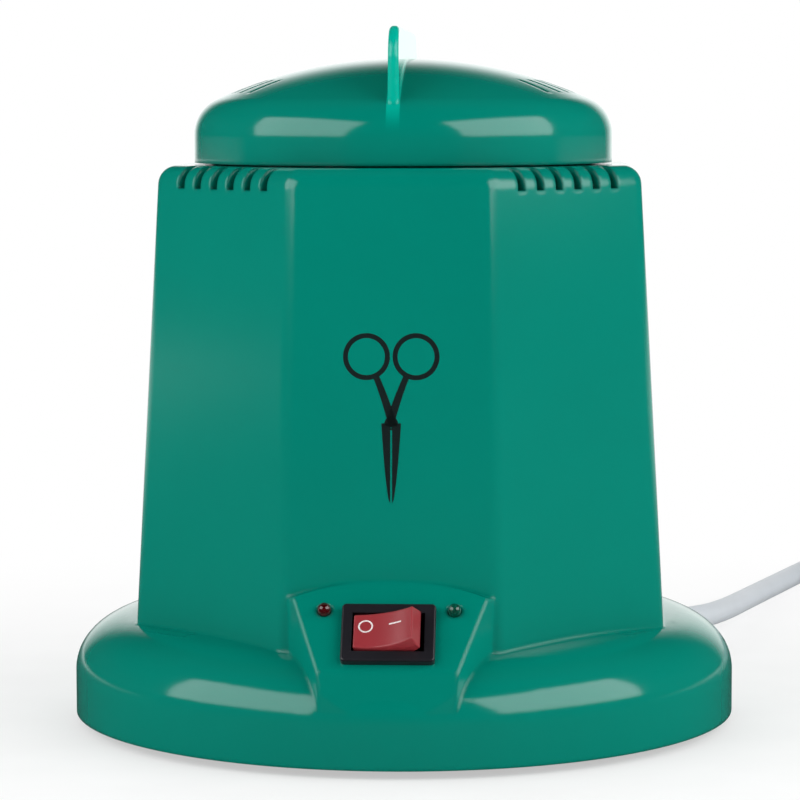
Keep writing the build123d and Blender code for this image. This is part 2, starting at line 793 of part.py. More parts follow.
def thermostat():
    """A snap-disc thermostat: metal cap against the pot, moulded body and two tabs below."""
    cap = post(disc_dia / 2, pot_low_z - disc_cap, pot_low_z)
    body = post(disc_dia / 2 - 0.8, pot_low_z - disc_height, pot_low_z - disc_cap)
    for side in (-1, 1):
        tab = Box(tab_thickness, tab_width, disc_tab)
        body += Pos(side * disc_dia / 4, 0, pot_low_z - disc_height - disc_tab / 2) * tab
    return cap + body


def thermostat_strap():
    """The sheet strap that holds the thermostat up to the pot, with a ring round its body."""
    ring_outer = disc_dia / 2 + 1.2
    low = pot_low_z - disc_cap - strap_thickness
    strap = ring(disc_dia / 2 - 0.8 + layer_gap / 3, ring_outer, low, low + strap_thickness)
    drop = disc_cap + strap_thickness
    for side in (-1, 1):
        arm = Pos(0, side * (ring_outer + strap_arm / 2 - 0.6), low + strap_thickness / 2)
        strap += arm * Box(strap_width, strap_arm + 1.2, strap_thickness)
        riser = Pos(0, side * (ring_outer + strap_arm), low + drop / 2)
        strap += riser * Box(strap_width, strap_thickness, drop)
        ear_length = strap_hole_pitch / 2 + 4 - ring_outer - strap_arm
        ear = Pos(0, side * (ring_outer + strap_arm + ear_length / 2), pot_low_z - strap_thickness / 2)
        strap += ear * Box(strap_width, ear_length, strap_thickness)
        strap -= post(screw_hole_dia / 2, low - 1, pot_low_z + 1, 0, side * strap_hole_pitch / 2)
    return strap


def floor_screws():
    """Screws up into the pot's floor: two hold the thermostat's strap and one the fuse clip."""
    low = pot_low_z - strap_thickness
    places = [Pos(x, y, low) * Rot(180, 0, 0) for x, y in floor_screw_spots]
    return screws(places, strap_thickness + strap_pilot_depth - thread_gap)


def thermal_fuse():
    """The cartridge of the thermal fuse, lying along Y under the pot, with its two leads."""
    radius = fuse_dia / 2
    place = Pos(fuse_offset, 0, pot_low_z - radius - layer_gap)
    body = place * Cylinder(radius, fuse_length, rotation=(90, 0, 0))
    return body + place * Cylinder(radius / 4, fuse_length + 8, rotation=(90, 0, 0))


def fuse_clip():
    """A bent sheet clip that hugs the fuse, with one foot screwed to the pot's floor."""
    radius = fuse_dia / 2 + layer_gap
    axis_z = pot_low_z - radius
    clip = Cylinder(radius + strap_thickness, clip_width, rotation=(90, 0, 0))
    clip += Pos(0, 0, radius / 2) * Box(2 * (radius + strap_thickness), clip_width, radius)
    clip -= Cylinder(radius, 2 * clip_width, rotation=(90, 0, 0))
    clip -= Pos(0, 0, radius) * Box(2 * radius, 2 * clip_width, 2 * radius)
    clip = Pos(fuse_offset, 0, axis_z) * clip
    foot = Pos(clip_foot_x - strap_thickness / 4, 0, pot_low_z - strap_thickness / 2)
    clip += foot * Box(clip_foot + strap_thickness / 2, clip_width, strap_thickness)
    clip -= Pos(clip_foot_x, 0, pot_low_z) * Cylinder(screw_hole_dia / 2, fuse_dia)
    return clip & post(base_dia, pot_low_z - 2 * fuse_dia, pot_low_z)


def switch_body():
    """The rocker switch's bezel, barrel and snap wings, open for the rocker."""
    bezel = Pos(0, 0, bezel_height / 2) * Box(bezel_length, bezel_width, bezel_height)
    bezel = fillet([e for e in bezel.edges() if abs((e @ 0).Z - (e @ 1).Z) > bezel_height / 2], bezel_corner)
    bezel = fillet(edges_at(bezel, bezel_height), bezel_edge)
    body = bezel + Pos(0, 0, -barrel_depth / 2) * Box(barrel_length, barrel_width, barrel_depth)
    for side in (-1, 1):
        wing = [(0, -panel_wall - cutout_gap), (wing_reach, -panel_wall - cutout_gap - 0.5), (0, -barrel_depth * 0.7)]
        profile = [(side * (barrel_length / 2 + x), 0, z) for x, z in wing]
        body += extrude(Face(Wire.make_polygon(profile)), barrel_width / 4, dir=(0, 1, 0), both=True)
    well_depth = pivot_drop + rocker_well
    well = Box(rocker_length + 2 * rocker_end_gap, rocker_width + 2 * rocker_gap, well_depth + 2 * bezel_height)
    body -= Pos(0, 0, (2 * bezel_height - well_depth) / 2) * well
    body -= Pos(0, 0, bezel_height - pivot_drop) * Cylinder(
        pivot_dia / 2 + pivot_gap, barrel_width - 2 * pivot_skin, rotation=(90, 0, 0)
    )
    return switch_place * body


def switch_rocker():
    """The rocker as it sits with its O end pressed: saddle top, drafted sides, keel and pivots."""
    half_top = rocker_top_length / 2
    half_low = rocker_length / 2
    saddle = ThreePointArc(
        (-half_top, 0, rocker_end_height),
        (0, 0, rocker_end_height - rocker_saddle),
        (half_top, 0, rocker_end_height),
    )
    outline = [
        saddle,
        Line((half_top, 0, rocker_end_height), (half_low, 0, -rocker_skirt)),
        Line((half_low, 0, -rocker_skirt), (rocker_keel_half, 0, -rocker_keel)),
        Line((rocker_keel_half, 0, -rocker_keel), (-rocker_keel_half, 0, -rocker_keel)),
        Line((-rocker_keel_half, 0, -rocker_keel), (-half_low, 0, -rocker_skirt)),
        Line((-half_low, 0, -rocker_skirt), (-half_top, 0, rocker_end_height)),
    ]
    body = extrude(Face(Wire(outline)), rocker_width / 2, dir=(0, 1, 0), both=True)
    lean = atan2((rocker_width - rocker_top_width) / 2, rocker_end_height)
    for side in (-1, 1):
        waste = Box(2 * rocker_length, rocker_width, 4 * rocker_width)
        hinge = Pos(0, side * rocker_width / 2, 0) * Rot(side * degrees(lean), 0, 0)
        cut = hinge * Pos(0, side * rocker_width / 2, 2 * rocker_width) * waste
        body -= cut
    body = fillet([e for e in body.edges() if (e @ 0.5).Z > rocker_end_height - rocker_saddle - 0.01], rocker_edge)
    pins = Cylinder(pivot_dia / 2, rocker_width + 2 * pivot_reach, rotation=(90, 0, 0))
    body += Pos(0, 0, -pivot_drop) * pins
    turn = Pos(0, 0, bezel_height - pivot_drop) * Rot(0, -rocker_tilt, 0)
    return switch_place * turn * Pos(0, 0, pivot_drop) * body


def switch_tabs():
    """The two blade terminals under the switch."""
    tabs = []
    for side in (-1, 1):
        blade = Box(tab_thickness, tab_width, tab_length)
        tabs.append(switch_place * Pos(side * tab_pitch / 2, 0, -barrel_depth - tab_length / 2) * blade)
    return Compound(tabs)


def pilot_lamp(side):
    """A pilot lamp: small dome in the panel, collar behind it and a tail."""
    radius = lamp_dia / 2
    under = -panel_wall
    body = Pos(0, 0, (under + lamp_stand) / 2) * Cylinder(radius, lamp_stand - under)
    crown = Pos(0, 0, lamp_stand) * Sphere(radius)
    body += crown
    body += Pos(0, 0, under - lamp_collar_height / 2) * Cylinder(lamp_collar_dia / 2, lamp_collar_height)
    tail_length = lamp_tail - lamp_collar_height
    body += Pos(0, 0, under - lamp_collar_height - tail_length / 2) * Cylinder(lamp_tail_dia / 2, tail_length)
    return panel * Pos(side * lamp_spread, lamp_up_panel, 0) * body


def lamp_holder(side):
    """The push-in ring that keeps a lamp in its sleeve."""
    body = Cylinder(holder_dia / 2, holder_height) - Cylinder(lamp_tail_dia / 2 + thread_gap / 2, 2 * holder_height)
    middle = -panel_wall - lamp_collar_height - holder_height / 2
    return panel * Pos(side * lamp_spread, lamp_up_panel, middle) * body


def strain_relief():
    """The tapered sleeve: groove in the flange wall, collar outside, ribbed taper to its tip."""
    outside = base_dia / 2
    inside = outside - wall
    start, end = inside - relief_collar, outside + relief_length
    outline = [
        (start, relief_inner_dia / 2),
        (inside - relief_seat, relief_inner_dia / 2),
        (inside - relief_seat, (cord_hole_dia - thread_gap) / 2),
        (outside + relief_seat, (cord_hole_dia - thread_gap) / 2),
        (outside + relief_seat, relief_collar_dia / 2),
        (outside + relief_collar, relief_collar_dia / 2),
        (outside + relief_collar, relief_root_dia / 2),
        (end, relief_tip_dia / 2),
        (end, cord_radius + layer_gap / 6),
        (start, cord_radius + layer_gap / 6),
    ]
    face = Face(Wire.make_polygon([(r, 0, along) for along, r in outline]))
    body = revolve(face, Axis.Z)
    pitch = (relief_length - relief_collar) / (relief_ribs + 1)
    for k in range(relief_ribs):
        along = outside + relief_collar + (k + 1) * pitch
        groove = Pos(0, 0, along) * (Cylinder(relief_root_dia, pitch / 3) - Cylinder(relief_tip_dia / 2 - 0.3, pitch))
        body -= groove
    return cord_place(0) * body


def cord_tail():
    """The cord's own stretch inside the base, from its stripped end to the relief's tip."""
    length = relief_tip_radius - tail_inner_radius
    return cord_place(tail_inner_radius + length / 2) * Cylinder(cord_radius, length)


def cord_cores():
    """The two insulated cores between the cord's stripped end and the terminal block."""
    middle = cord_place(tail_inner_radius - core_length / 2)
    return Compound([middle * Pos(0, side * core_pitch / 2, 0) * Cylinder(core_dia / 2, core_length) for side in (-1, 1)])


def cord_clamp():
    """The saddle over the cord, screwed to its pad."""
    base = Pos(0, 0, clamp_ear / 2) * Box(clamp_length, clamp_width, clamp_ear)
    hump = Cylinder(cord_radius + clamp_thickness, clamp_width, rotation=(90, 0, 0))
    lift = clamp_split / 2
    body = base + (Pos(0, 0, -lift) * hump & Pos(0, 0, clamp_length / 2) * Box(clamp_length, clamp_width, clamp_length))
    body -= Pos(0, 0, -lift) * cord_trough()
    for side in (-1, 1):
        body -= Pos(side * clamp_hole_offset, 0, 0) * Cylinder(screw_hole_dia / 2, 4 * clamp_ear)
    return clamp_place * Pos(0, 0, clamp_axis + lift) * body


def clamp_screws():
    """Two screws down through the clamp's ears."""
    top = clamp_axis + clamp_split / 2 + clamp_ear
    places = [clamp_place * Pos(side * clamp_hole_offset, 0, top) for side in (-1, 1)]
    return screws(places, clamp_ear + clamp_split + clamp_pilot_depth - 0.5)


def terminal_block():
    """A three-way block: foot, one tower a way, wire holes through and screw wells on top."""
    body = Pos(0, 0, block_height / 2) * Box(block_length, block_depth, block_height)
    axis_z = block_height / 2
    for k in range(block_ways):
        x = (k - (block_ways - 1) / 2) * block_way_pitch
        tower = Box(block_tower_length, block_depth, block_tower)
        body += Pos(x, 0, block_height + block_tower / 2) * tower
        body -= Pos(x, 0, axis_z) * Cylinder(block_hole_dia / 2, 2 * block_depth, rotation=(90, 0, 0))
        for side in (-1, 1):
            well = Cylinder(wire_screw_dia / 2 + thread_gap, 2 * (block_height + block_tower - axis_z))
            body -= Pos(x, side * block_depth / 4, block_height + block_tower) * well
    for side in (-1, 1):
        hole = Cylinder(screw_hole_dia / 2, 4 * block_height)
        body -= Pos(side * block_way_pitch / 2, 0, 0) * hole
        seat = Cylinder(screw_head_dia / 2 + 0.2, 2 * block_tower)
        body -= Pos(side * block_way_pitch / 2, 0, block_height + block_tower) * seat
    return block_place * Pos(0, 0, block_foot) * body


def wire_screws():
    """The six slotted screws that hold wires in the block."""
    top = block_foot + block_height + block_tower - 2
    low = block_foot + block_height / 2 + block_hole_dia / 2
    body = Cylinder(wire_screw_dia / 2, top - low) - Pos(0, 0, (top - low) / 2) * Box(2 * wire_screw_dia, 0.6, 1.2)
    group = []
    for k in range(block_ways):
        x = (k - (block_ways - 1) / 2) * block_way_pitch
        for side in (-1, 1):
            group.append(block_place * Pos(x, side * block_depth / 4, (top + low) / 2) * body)
    return Compound(group)


def block_screws():
    """Two screws that hold the block to its posts."""
    top = block_foot + block_height
    places = [block_place * Pos(side * block_way_pitch / 2, 0, top) for side in (-1, 1)]
    return screws(places, block_height + block_pilot_depth - 0.5)


def corner_radii(points):
    """A radius for each corner of a route: 0.45 of the shorter run over the tangent of half the turn."""
    radii = []
    for a, b, c in zip(points, points[1:], points[2:]):
        before, after = Vector(*b) - Vector(*a), Vector(*c) - Vector(*b)
        turn = radians(before.get_angle(after))
        radii.append(0.45 * min(before.length, after.length) / tan(turn / 2))
    return radii


def tube(points, name):
    """A round tube along straight runs joined by tangent arcs."""
    radii = corner_radii(points)
    path = FilletPolyline(*points, radius=radii)
    section = Plane(origin=path @ 0, z_dir=path % 0) * Circle(cord_radius)
    body = sweep(section, path)
    share = body.volume / (pi * cord_radius**2 * path.length)
    print(name, "radii", [round(r) for r in radii], "length", round(path.length, 1), "volume share", round(share, 4))
    return body


def on_coil(azimuth, radius, z):
    """A point of the coil."""
    x, y = spots(radius, [azimuth])[0]
    return (coil_centre[0] + x, coil_centre[1] + y, z)


def power_cord():
    """The cord outside, from the relief's tip to the coil."""
    x, y = spots(relief_tip_radius, [cord_azimuth])[0]
    entry = on_coil(coil_entry_azimuth, outer_turn, coil_low_z + cord_radius)
    return tube([(x, y, cord_height), *cord_route, entry], "power_cord")


def cord_coil():
    """The put-away coil as one closed ring of its outer shape."""
    body = ring(coil_inner, coil_outer, coil_low_z, coil_top_z)
    body = fillet([e for e in body.edges() if e.length > coil_inner], cord_radius * 0.8)
    return Pos(*coil_centre, 0) * body


def cord_tie():
    """The flat tie round the coil's turns."""
    width = coil_outer - coil_inner + 2 * tie_gap
    height = coil_top_z - coil_low_z + 2 * tie_gap
    loop = Box(width + 2 * tie_thickness, tie_width, height + 2 * tie_thickness)
    loop -= Box(width, 2 * tie_width, height)
    middle = (coil_low_z + coil_top_z) / 2
    return Pos(*coil_centre, 0) * Rot(0, 0, tie_azimuth) * Pos(coil_mid_radius, 0, middle) * loop


def cord_plug_end():
    """The short lead from the coil to the plug."""
    start = on_coil(0, outer_turn, coil_low_z + 3 * cord_radius)
    return tube([start, *plug_route, (*plug_tail, plug_thickness / 2)], "cord_plug_end")


def plug_body():
    """The moulded two-pin plug: wide flat face, narrower back and a ribbed tapered neck."""
    neck_end = plug_neck_length
    body = Solid.make_cone(plug_neck_tip_dia / 2, plug_neck_dia / 2, neck_end + 2)
    for k in range(3):
        along = neck_end * (0.25 + 0.22 * k)
        body -= Pos(0, 0, along) * (Cylinder(plug_neck_dia, 1.2) - Cylinder(plug_neck_tip_dia / 2 - 0.4, 2))
    stations = [
        (neck_end, plug_back_width, plug_back_thickness),
        (neck_end + plug_length - plug_shoulder, plug_width, plug_thickness),
        (neck_end + plug_length, plug_width, plug_thickness),
    ]
    sections = [
        Plane((0, 0, along)) * RectangleRounded(width, depth, depth * 0.3) for along, width, depth in stations
    ]
    head = loft(sections[:2]) + extrude(sections[1], plug_shoulder)
    head = fillet(edges_at(head, neck_end + plug_length), 1.0)
    return plug_place * (head + body)


def plug_pin(side):
    """One round pin of the plug."""
    pin = Pos(0, 0, pin_length / 2) * Cylinder(pin_dia / 2, pin_length)
    pin = fillet(edges_at(pin, pin_length), pin_nose)
    return plug_place * Pos(side * pin_pitch / 2, 0, plug_neck_length + plug_length) * pin


def build():
    """Every piece by its node name."""
    nodes = {
        "housing": housing(),
        "lid": lid(),
        "base_plate": base_plate(),
        "base_screws": base_screws(),
        "deck_plate": deck_plate(),
        "deck_screws": deck_screws(),
        "chamber_pot": chamber_pot(),
        "pot_screws": pot_screws(),
        "pot_nuts": pot_nuts(),
        "heater_band": heater_band(),
        "band_screw": band_screw(),
        "band_nut": band_nut(),
        "insulation_blanket": insulation_blanket(),
        "heat_shield": heat_shield(),
        "shield_rivets": shield_rivets(),
        "thermostat": thermostat(),
        "thermostat_strap": thermostat_strap(),
        "floor_screws": floor_screws(),
        "thermal_fuse": thermal_fuse(),
        "fuse_clip": fuse_clip(),
        "switch_body": switch_body(),
        "switch_rocker": switch_rocker(),
        "switch_tabs": switch_tabs(),
        "strain_relief": strain_relief(),
        "cord_tail": cord_tail(),
        "cord_cores": cord_cores(),
        "cord_clamp": cord_clamp(),
        "clamp_screws": clamp_screws(),
        "terminal_block": terminal_block(),
        "wire_screws": wire_screws(),
        "block_screws": block_screws(),
        "power_cord": power_cord(),
        "cord_coil": cord_coil(),
        "cord_tie": cord_tie(),
        "cord_plug_end": cord_plug_end(),
        "plug_body": plug_body(),
    }
    for name, azimuth in zip(("right_rear", "left_rear", "left_front", "right_front"), foot_azimuths):
        nodes["foot_" + name] = foot(azimuth)
    for colour, side in (("red", -1), ("green", 1)):
        nodes["pilot_lamp_" + colour] = pilot_lamp(side)
        nodes["lamp_holder_" + colour] = lamp_holder(side)
    for name, side in (("left", -1), ("right", 1)):
        nodes["plug_pin_" + name] = plug_pin(side)
    return nodes


os.makedirs("parts", exist_ok=True)
for node, piece in build().items():
    export_step(piece, f"parts/{node}.step")
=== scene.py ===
"""Studio dressing of a dry heat sterilizer: a glossy teal-green pot with a domed lid and a switch pod.

Every piece is in metres in the model's own frame: front is -Y, up is +Z, the table is z = 0
and the round flange's axis is the Z axis. Sizes are written in millimetres and multiplied by MM.
"""

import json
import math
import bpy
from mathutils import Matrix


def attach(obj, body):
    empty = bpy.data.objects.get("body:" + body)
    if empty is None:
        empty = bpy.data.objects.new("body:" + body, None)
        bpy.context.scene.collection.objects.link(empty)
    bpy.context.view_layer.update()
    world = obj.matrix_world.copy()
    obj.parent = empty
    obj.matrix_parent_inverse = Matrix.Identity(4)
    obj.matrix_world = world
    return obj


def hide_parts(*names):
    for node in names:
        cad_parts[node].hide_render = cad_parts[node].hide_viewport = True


bl_info = {
    "name": "Dry Heat Sterilizer",
    "version": (1, 0, 0),
    "blender": (4, 5, 0),
    "location": "View3D > Sidebar > Sterilizer",
    "description": "Dresses the packed sterilizer with its finishes, cord, marks and studio",
    "category": "Object",
}

import bpy
import numpy as np
from mathutils import Matrix, Vector

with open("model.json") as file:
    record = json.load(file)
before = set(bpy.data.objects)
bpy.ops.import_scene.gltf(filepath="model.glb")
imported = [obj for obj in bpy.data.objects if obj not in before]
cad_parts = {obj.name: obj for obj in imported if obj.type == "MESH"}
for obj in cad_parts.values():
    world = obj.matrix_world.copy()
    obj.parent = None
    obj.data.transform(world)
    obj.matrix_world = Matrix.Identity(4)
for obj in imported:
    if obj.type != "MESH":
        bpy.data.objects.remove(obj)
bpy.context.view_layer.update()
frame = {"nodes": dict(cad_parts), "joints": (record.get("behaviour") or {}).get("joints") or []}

MM = 0.001
X_AXIS = np.array([1.0, 0.0, 0.0])
Z_AXIS = np.array([0.0, 0.0, 1.0])

# Body facets, as in the part: half-width across flats at the root and at the top
ROOT_Z = 26.2 * MM
TOP_Z = 134.2 * MM
ROOT_APOTHEM = 62.6 * MM
TOP_APOTHEM = 56.7 * MM

# The lid's crest: half its thickness with a soft limit, and the heights between which it leaves the dome;
# they bound where light is painted on the crest
FIN_HALF = (1.45 * MM, 1.65 * MM)
FIN_FOOT = (142.0 * MM, 150.0 * MM)
# Painted light on the crest: how much brighter its base colour is painted than the rest, to stand in for the
# light that comes through it
FIN_PAINTED_LIGHT = 2.0

# Rocker switch, as in the part
PIVOT_DROP = 1.5 * MM
ROCKER_TILT = math.radians(17.0)
ROCKER_TOP_HALF = 6.9 * MM
ROCKER_END_HEIGHT = 2.5 * MM
ROCKER_SADDLE = 1.4 * MM

# Cord, as in the part: its own diameter, its way out and the route's points
CORD_DIAMETER = 6.2 * MM
CORD_EXIT_AZIMUTH = math.radians(50.0)
CORD_HEIGHT = 9.8 * MM
RELIEF_TIP_RADIUS = 104.0 * MM
CORD_ROUTE = [
    (77.0, 92.0, 8.9),
    (84.4, 114.0, 7.4),
    (92.0, 143.7, 5.7),
    (101.9, 179.0, 4.1),
    (112.9, 213.6, 3.2),
    (121.3, 235.2, 3.3),
]
PLUG_ROUTE = [
    (198.6, 214.0, 9.4),
    (196.5, 200.0, 8.2),
    (192.5, 187.0, 7.2),
    (188.0, 176.0, 6.85),
]
COIL_CENTRE = (162.0, 228.0)
COIL_MID_RADIUS = 34.0 * MM
COIL_LOW = 1.1 * MM
COIL_ENTRY = math.radians(150.0)
COIL_TURNS = 5 + 150.0 / 360.0
POINTS_PER_TURN = 24
# Places in the bundle, turn by turn: (row, layer), row 1 outside and 0 inside
COIL_PLACES = [(1, 0), (0, 0), (0, 1), (0, 2), (1, 2), (1, 1)]
# The share of each turn at which the cord leaves its place for the next, later for lower turns
COIL_SHIFT_START = [0.70, 0.63, 0.60, 0.53, 0.45]
COIL_SHIFT_SPAN = 0.22
TIE_AZIMUTH = math.radians(65.0)
TIE_WIDTH = 5.0 * MM

# The printed sign, in shares of its height: x = 0 in its middle and y = 0 at the blades' tips
SIGN_RING = (0.146, 0.862)
SIGN_RING_RADIUS = 0.138
SIGN_RING_STROKE = 0.029
SIGN_SHANK = ((0.09, 0.745), (0.035, 0.62), (-0.012, 0.45))
SIGN_SHANK_WIDTH = (0.034, 0.05)
SIGN_PIN_Y = 0.47
SIGN_PIN_RADIUS = 0.04
SIGN_PIN_STROKE = 0.012
SIGN_BLADE_GAP = 0.006
SIGN_BLADE_WIDTH = 0.052

# How far printed films start off the surface under them
SIGN_FILM_GAP = 0.01 * MM
MARK_FILM_GAP = 0.005 * MM

# The camera's place in millimetres, worked out from the edges of the base, the lid and the body
CAMERA_PLACE = (37.32, -767.65, 149.36)

# Softboxes: name, azimuth in degrees from the front and share of the radiance; then their common
# width, height, distance, elevation, and the height over the table that they look at, in metres
SOFTBOXES = (("softbox_left", -56.0, 0.95), ("softbox_right", 62.0, 1.1))
SOFTBOX_WIDTH = 1.08
SOFTBOX_HEIGHT = 0.7
SOFTBOX_DISTANCE = 1.0
SOFTBOX_ELEVATION = math.radians(26.0)
SOFTBOX_AIM = 0.08

# Surround, by the part of a ray's direction along Y or Z: where each light starts and where it is full
WHITE_BEHIND = (0.85, 0.99)
WHITE_FADES_UP = (0.2, 0.5)
SIDE_LIGHT = (-0.4, 0.35)

# Radians by which a wave texture turns for each unit of its scaled place
WAVE_TURN = 20.0


# Properties that a user would change


class SterilizerFinish(bpy.types.PropertyGroup):
    """Colours and gloss of the finishes."""

    green: bpy.props.FloatVectorProperty(
        name="Body green", description="Colour of the housing and the lid", subtype="COLOR", size=3,
        min=0.0, max=1.0, default=(0.0, 0.205, 0.152),
    )
    green_roughness: bpy.props.FloatProperty(
        name="Body roughness", description="Gloss of the housing and the lid", min=0.0, max=1.0,
        subtype="FACTOR", default=0.11,
    )
    rocker: bpy.props.FloatVectorProperty(
        name="Rocker red", description="Colour of the rocker", subtype="COLOR", size=3,
        min=0.0, max=1.0, default=(0.31, 0.03, 0.038),
    )
    black: bpy.props.FloatVectorProperty(
        name="Bezel black", description="Colour of the switch's bezel", subtype="COLOR", size=3,
        min=0.0, max=1.0, default=(0.011, 0.010, 0.014),
    )
    cord: bpy.props.FloatVectorProperty(
        name="Cord white", description="Colour of the cord and the plug", subtype="COLOR", size=3,
        min=0.0, max=1.0, default=(0.59, 0.625, 0.66),
    )
    print_ink: bpy.props.FloatVectorProperty(
        name="Print ink", description="Colour of the printed sign", subtype="COLOR", size=3,
        min=0.0, max=1.0, default=(0.004, 0.012, 0.012),
    )
    edge_softness: bpy.props.FloatProperty(
        name="Edge softness",
        description="Radius that light sees on the moulding's edges and inner corners",
        min=0.0, max=0.003, subtype="DISTANCE", unit="LENGTH", default=0.0014,
    )


class SterilizerLead(bpy.types.PropertyGroup):
    """The mains cord."""

    length: bpy.props.FloatProperty(
        name="Cord length", description="Length outside the strain relief", unit="LENGTH", default=1.38,
    )
    tie_thickness: bpy.props.FloatProperty(
        name="Tie thickness", description="Thickness of the tie round the coil", unit="LENGTH",
        default=0.9 * MM,
    )


class SterilizerPrint(bpy.types.PropertyGroup):
    """The scissors sign on the front facet."""

    centre_x: bpy.props.FloatProperty(
        name="Centre", description="Sideways place of the sign on the facet", unit="LENGTH",
        default=0.1 * MM,
    )
    low_z: bpy.props.FloatProperty(
        name="Tip height", description="Height of the blades' tips over the table", unit="LENGTH",
        default=59.2 * MM,
    )
    height: bpy.props.FloatProperty(
        name="Height", description="Height of the whole sign", unit="LENGTH", default=38.2 * MM,
    )
    ink: bpy.props.FloatProperty(
        name="Ink thickness", description="How far the ink stands off the facet", unit="LENGTH",
        default=0.05 * MM,
    )


class SterilizerStage(bpy.types.PropertyGroup):
    """Camera and studio light."""

    lens: bpy.props.FloatProperty(
        name="Lens", description="Focal length on a 36 mm sensor, in millimetres", default=142.72,
    )
    pitch: bpy.props.FloatProperty(
        name="Pitch", description="How far the camera looks down", subtype="ANGLE",
        default=math.radians(5.394),
    )
    heading: bpy.props.FloatProperty(
        name="Heading", description="Turn of the camera from straight ahead", subtype="ANGLE",
        default=math.radians(2.849),
    )
    roll: bpy.props.FloatProperty(
        name="Roll", description="Turn of the camera about its own axis", subtype="ANGLE",
        default=math.radians(-0.095),
    )
    softbox_radiance: bpy.props.FloatProperty(
        name="Softbox", description="Radiance of the softboxes", min=0.0, default=3.1,
    )
    ambient: bpy.props.FloatProperty(
        name="Ambient", description="Soft light from the sides and behind", min=0.0, default=0.46,
    )
    surround: bpy.props.FloatProperty(
        name="Surround", description="Brightness of the white surround in reflections", min=0.0,
        default=1.3,
    )


# Shader helpers


def shader(name):
    """A new material with its node tree and its principled shader."""
    material = bpy.data.materials.new(name)
    material.use_nodes = True
    tree = material.node_tree
    return material, tree, tree.nodes["Principled BSDF"]


def node(tree, kind, **inputs):
    """A shader node; inputs named by socket are set, and a socket given as a value is linked."""
    made = tree.nodes.new(kind)
    for name, value in inputs.items():
        socket = made.inputs[name.replace("_", " ")]
        if isinstance(value, bpy.types.NodeSocket):
            tree.links.new(value, socket)
        else:
            socket.default_value = value
    return made


def object_coordinates(tree, scale=(1, 1, 1), location=(0, 0, 0), rotation=(0, 0, 0)):
    """Object coordinates through a mapping."""
    place = tree.nodes.new("ShaderNodeTexCoord").outputs["Object"]
    mapping = node(tree, "ShaderNodeMapping", Vector=place)
    mapping.inputs["Scale"].default_value = scale
    mapping.inputs["Location"].default_value = location
    mapping.inputs["Rotation"].default_value = rotation
    return mapping.outputs["Vector"]


def noise(tree, place, size, detail=2.0, roughness=0.5):
    """A noise texture's value, its clouds about as large as the size in metres."""
    made = node(tree, "ShaderNodeTexNoise", Vector=place, Scale=1 / size, Detail=detail, Roughness=roughness)
    return made.outputs["Fac"]


def ramp(tree, value, stops):
    """A colour ramp; stops are (position, colour) pairs."""
    made = node(tree, "ShaderNodeValToRGB", Fac=value)
    elements = made.color_ramp.elements
    while len(elements) < len(stops):
        elements.new(0.5)
    for element, (position, colour) in zip(elements, stops):
        element.position = position
        element.color = (*colour, 1.0)
    return made.outputs["Color"]


def scaled(tree, value, low, high):
    """A value from 0 to 1 mapped to low to high."""
    made = node(tree, "ShaderNodeMapRange", Value=value)
    made.inputs["To Min"].default_value = low
    made.inputs["To Max"].default_value = high
    return made.outputs["Result"]


def eased(tree, value, source, target):
    """A value eased smoothly from one range to another."""
    made = node(tree, "ShaderNodeMapRange", Value=value)
    made.interpolation_type = "SMOOTHSTEP"
    made.inputs["From Min"].default_value, made.inputs["From Max"].default_value = source
    made.inputs["To Min"].default_value, made.inputs["To Max"].default_value = target
    return made.outputs["Result"]


def math_node(tree, operation, first, second):
    """One arithmetic operation on two sockets."""
    made = node(tree, "ShaderNodeMath", Value=first)
    made.operation = operation
    tree.links.new(second, made.inputs[1])
    return made.outputs["Value"]


def mixed(tree, share, first, second):
    """Two shaders mixed by a share."""
    made = node(tree, "ShaderNodeMixShader", Fac=share)
    tree.links.new(first, made.inputs[1])
    tree.links.new(second, made.inputs[2])
    return made.outputs["Shader"]


def bump(tree, height, strength, distance, normal=None):
    """A bump from a height value, with the real depth in metres."""
    made = node(tree, "ShaderNodeBump", Height=height, Strength=strength, Distance=distance)
    if normal is not None:
        tree.links.new(normal, made.inputs["Normal"])
    return made.outputs["Normal"]


def tones(colour, spread):
    """Two stops round a colour, darker and lighter by the spread."""
    dark = tuple(c * (1 - spread) for c in colour)
    light = tuple(min(1.0, c * (1 + spread)) for c in colour)
    return [(0.3, dark), (0.7, light)]


def moulded_plastic(name, colour, roughness, spread=0.03, grain=60 * MM, ripple=0.012 * MM, edge=0.0):
    """Moulded plastic: faint flow clouds in colour and gloss, and the slow ripple of a moulded wall."""
    material, tree, surface = shader(name)
    place = object_coordinates(tree)
    clouds = noise(tree, place, grain, 3.0)
    fine = noise(tree, place, 0.35 * MM, 2.0)
    tree.links.new(ramp(tree, clouds, tones(colour, spread)), surface.inputs["Base Color"])
    tree.links.new(scaled(tree, fine, roughness * 0.9, roughness * 1.12), surface.inputs["Roughness"])
    soft = None
    if edge > 0:
        rounded = node(tree, "ShaderNodeBevel", Radius=edge)
        rounded.samples = 6
        soft = rounded.outputs["Normal"]
    wave = noise(tree, place, 14 * MM, 1.0)
    tree.links.new(bump(tree, wave, 1.0, ripple, soft), surface.inputs["Normal"])
    return material


def satin_plastic(name, colour, roughness, grain=0.25 * MM, depth=0.02 * MM):
    """Finely spark-eroded plastic: a dense small grain in gloss and height."""
    material, tree, surface = shader(name)
    place = object_coordinates(tree)
    speck = noise(tree, place, grain, 3.0, 0.6)
    clouds = noise(tree, place, 9 * MM, 2.0)
    tree.links.new(ramp(tree, clouds, tones(colour, 0.08)), surface.inputs["Base Color"])
    tree.links.new(scaled(tree, speck, roughness * 0.8, roughness * 1.2), surface.inputs["Roughness"])
    tree.links.new(bump(tree, speck, 0.5, depth), surface.inputs["Normal"])
    return material


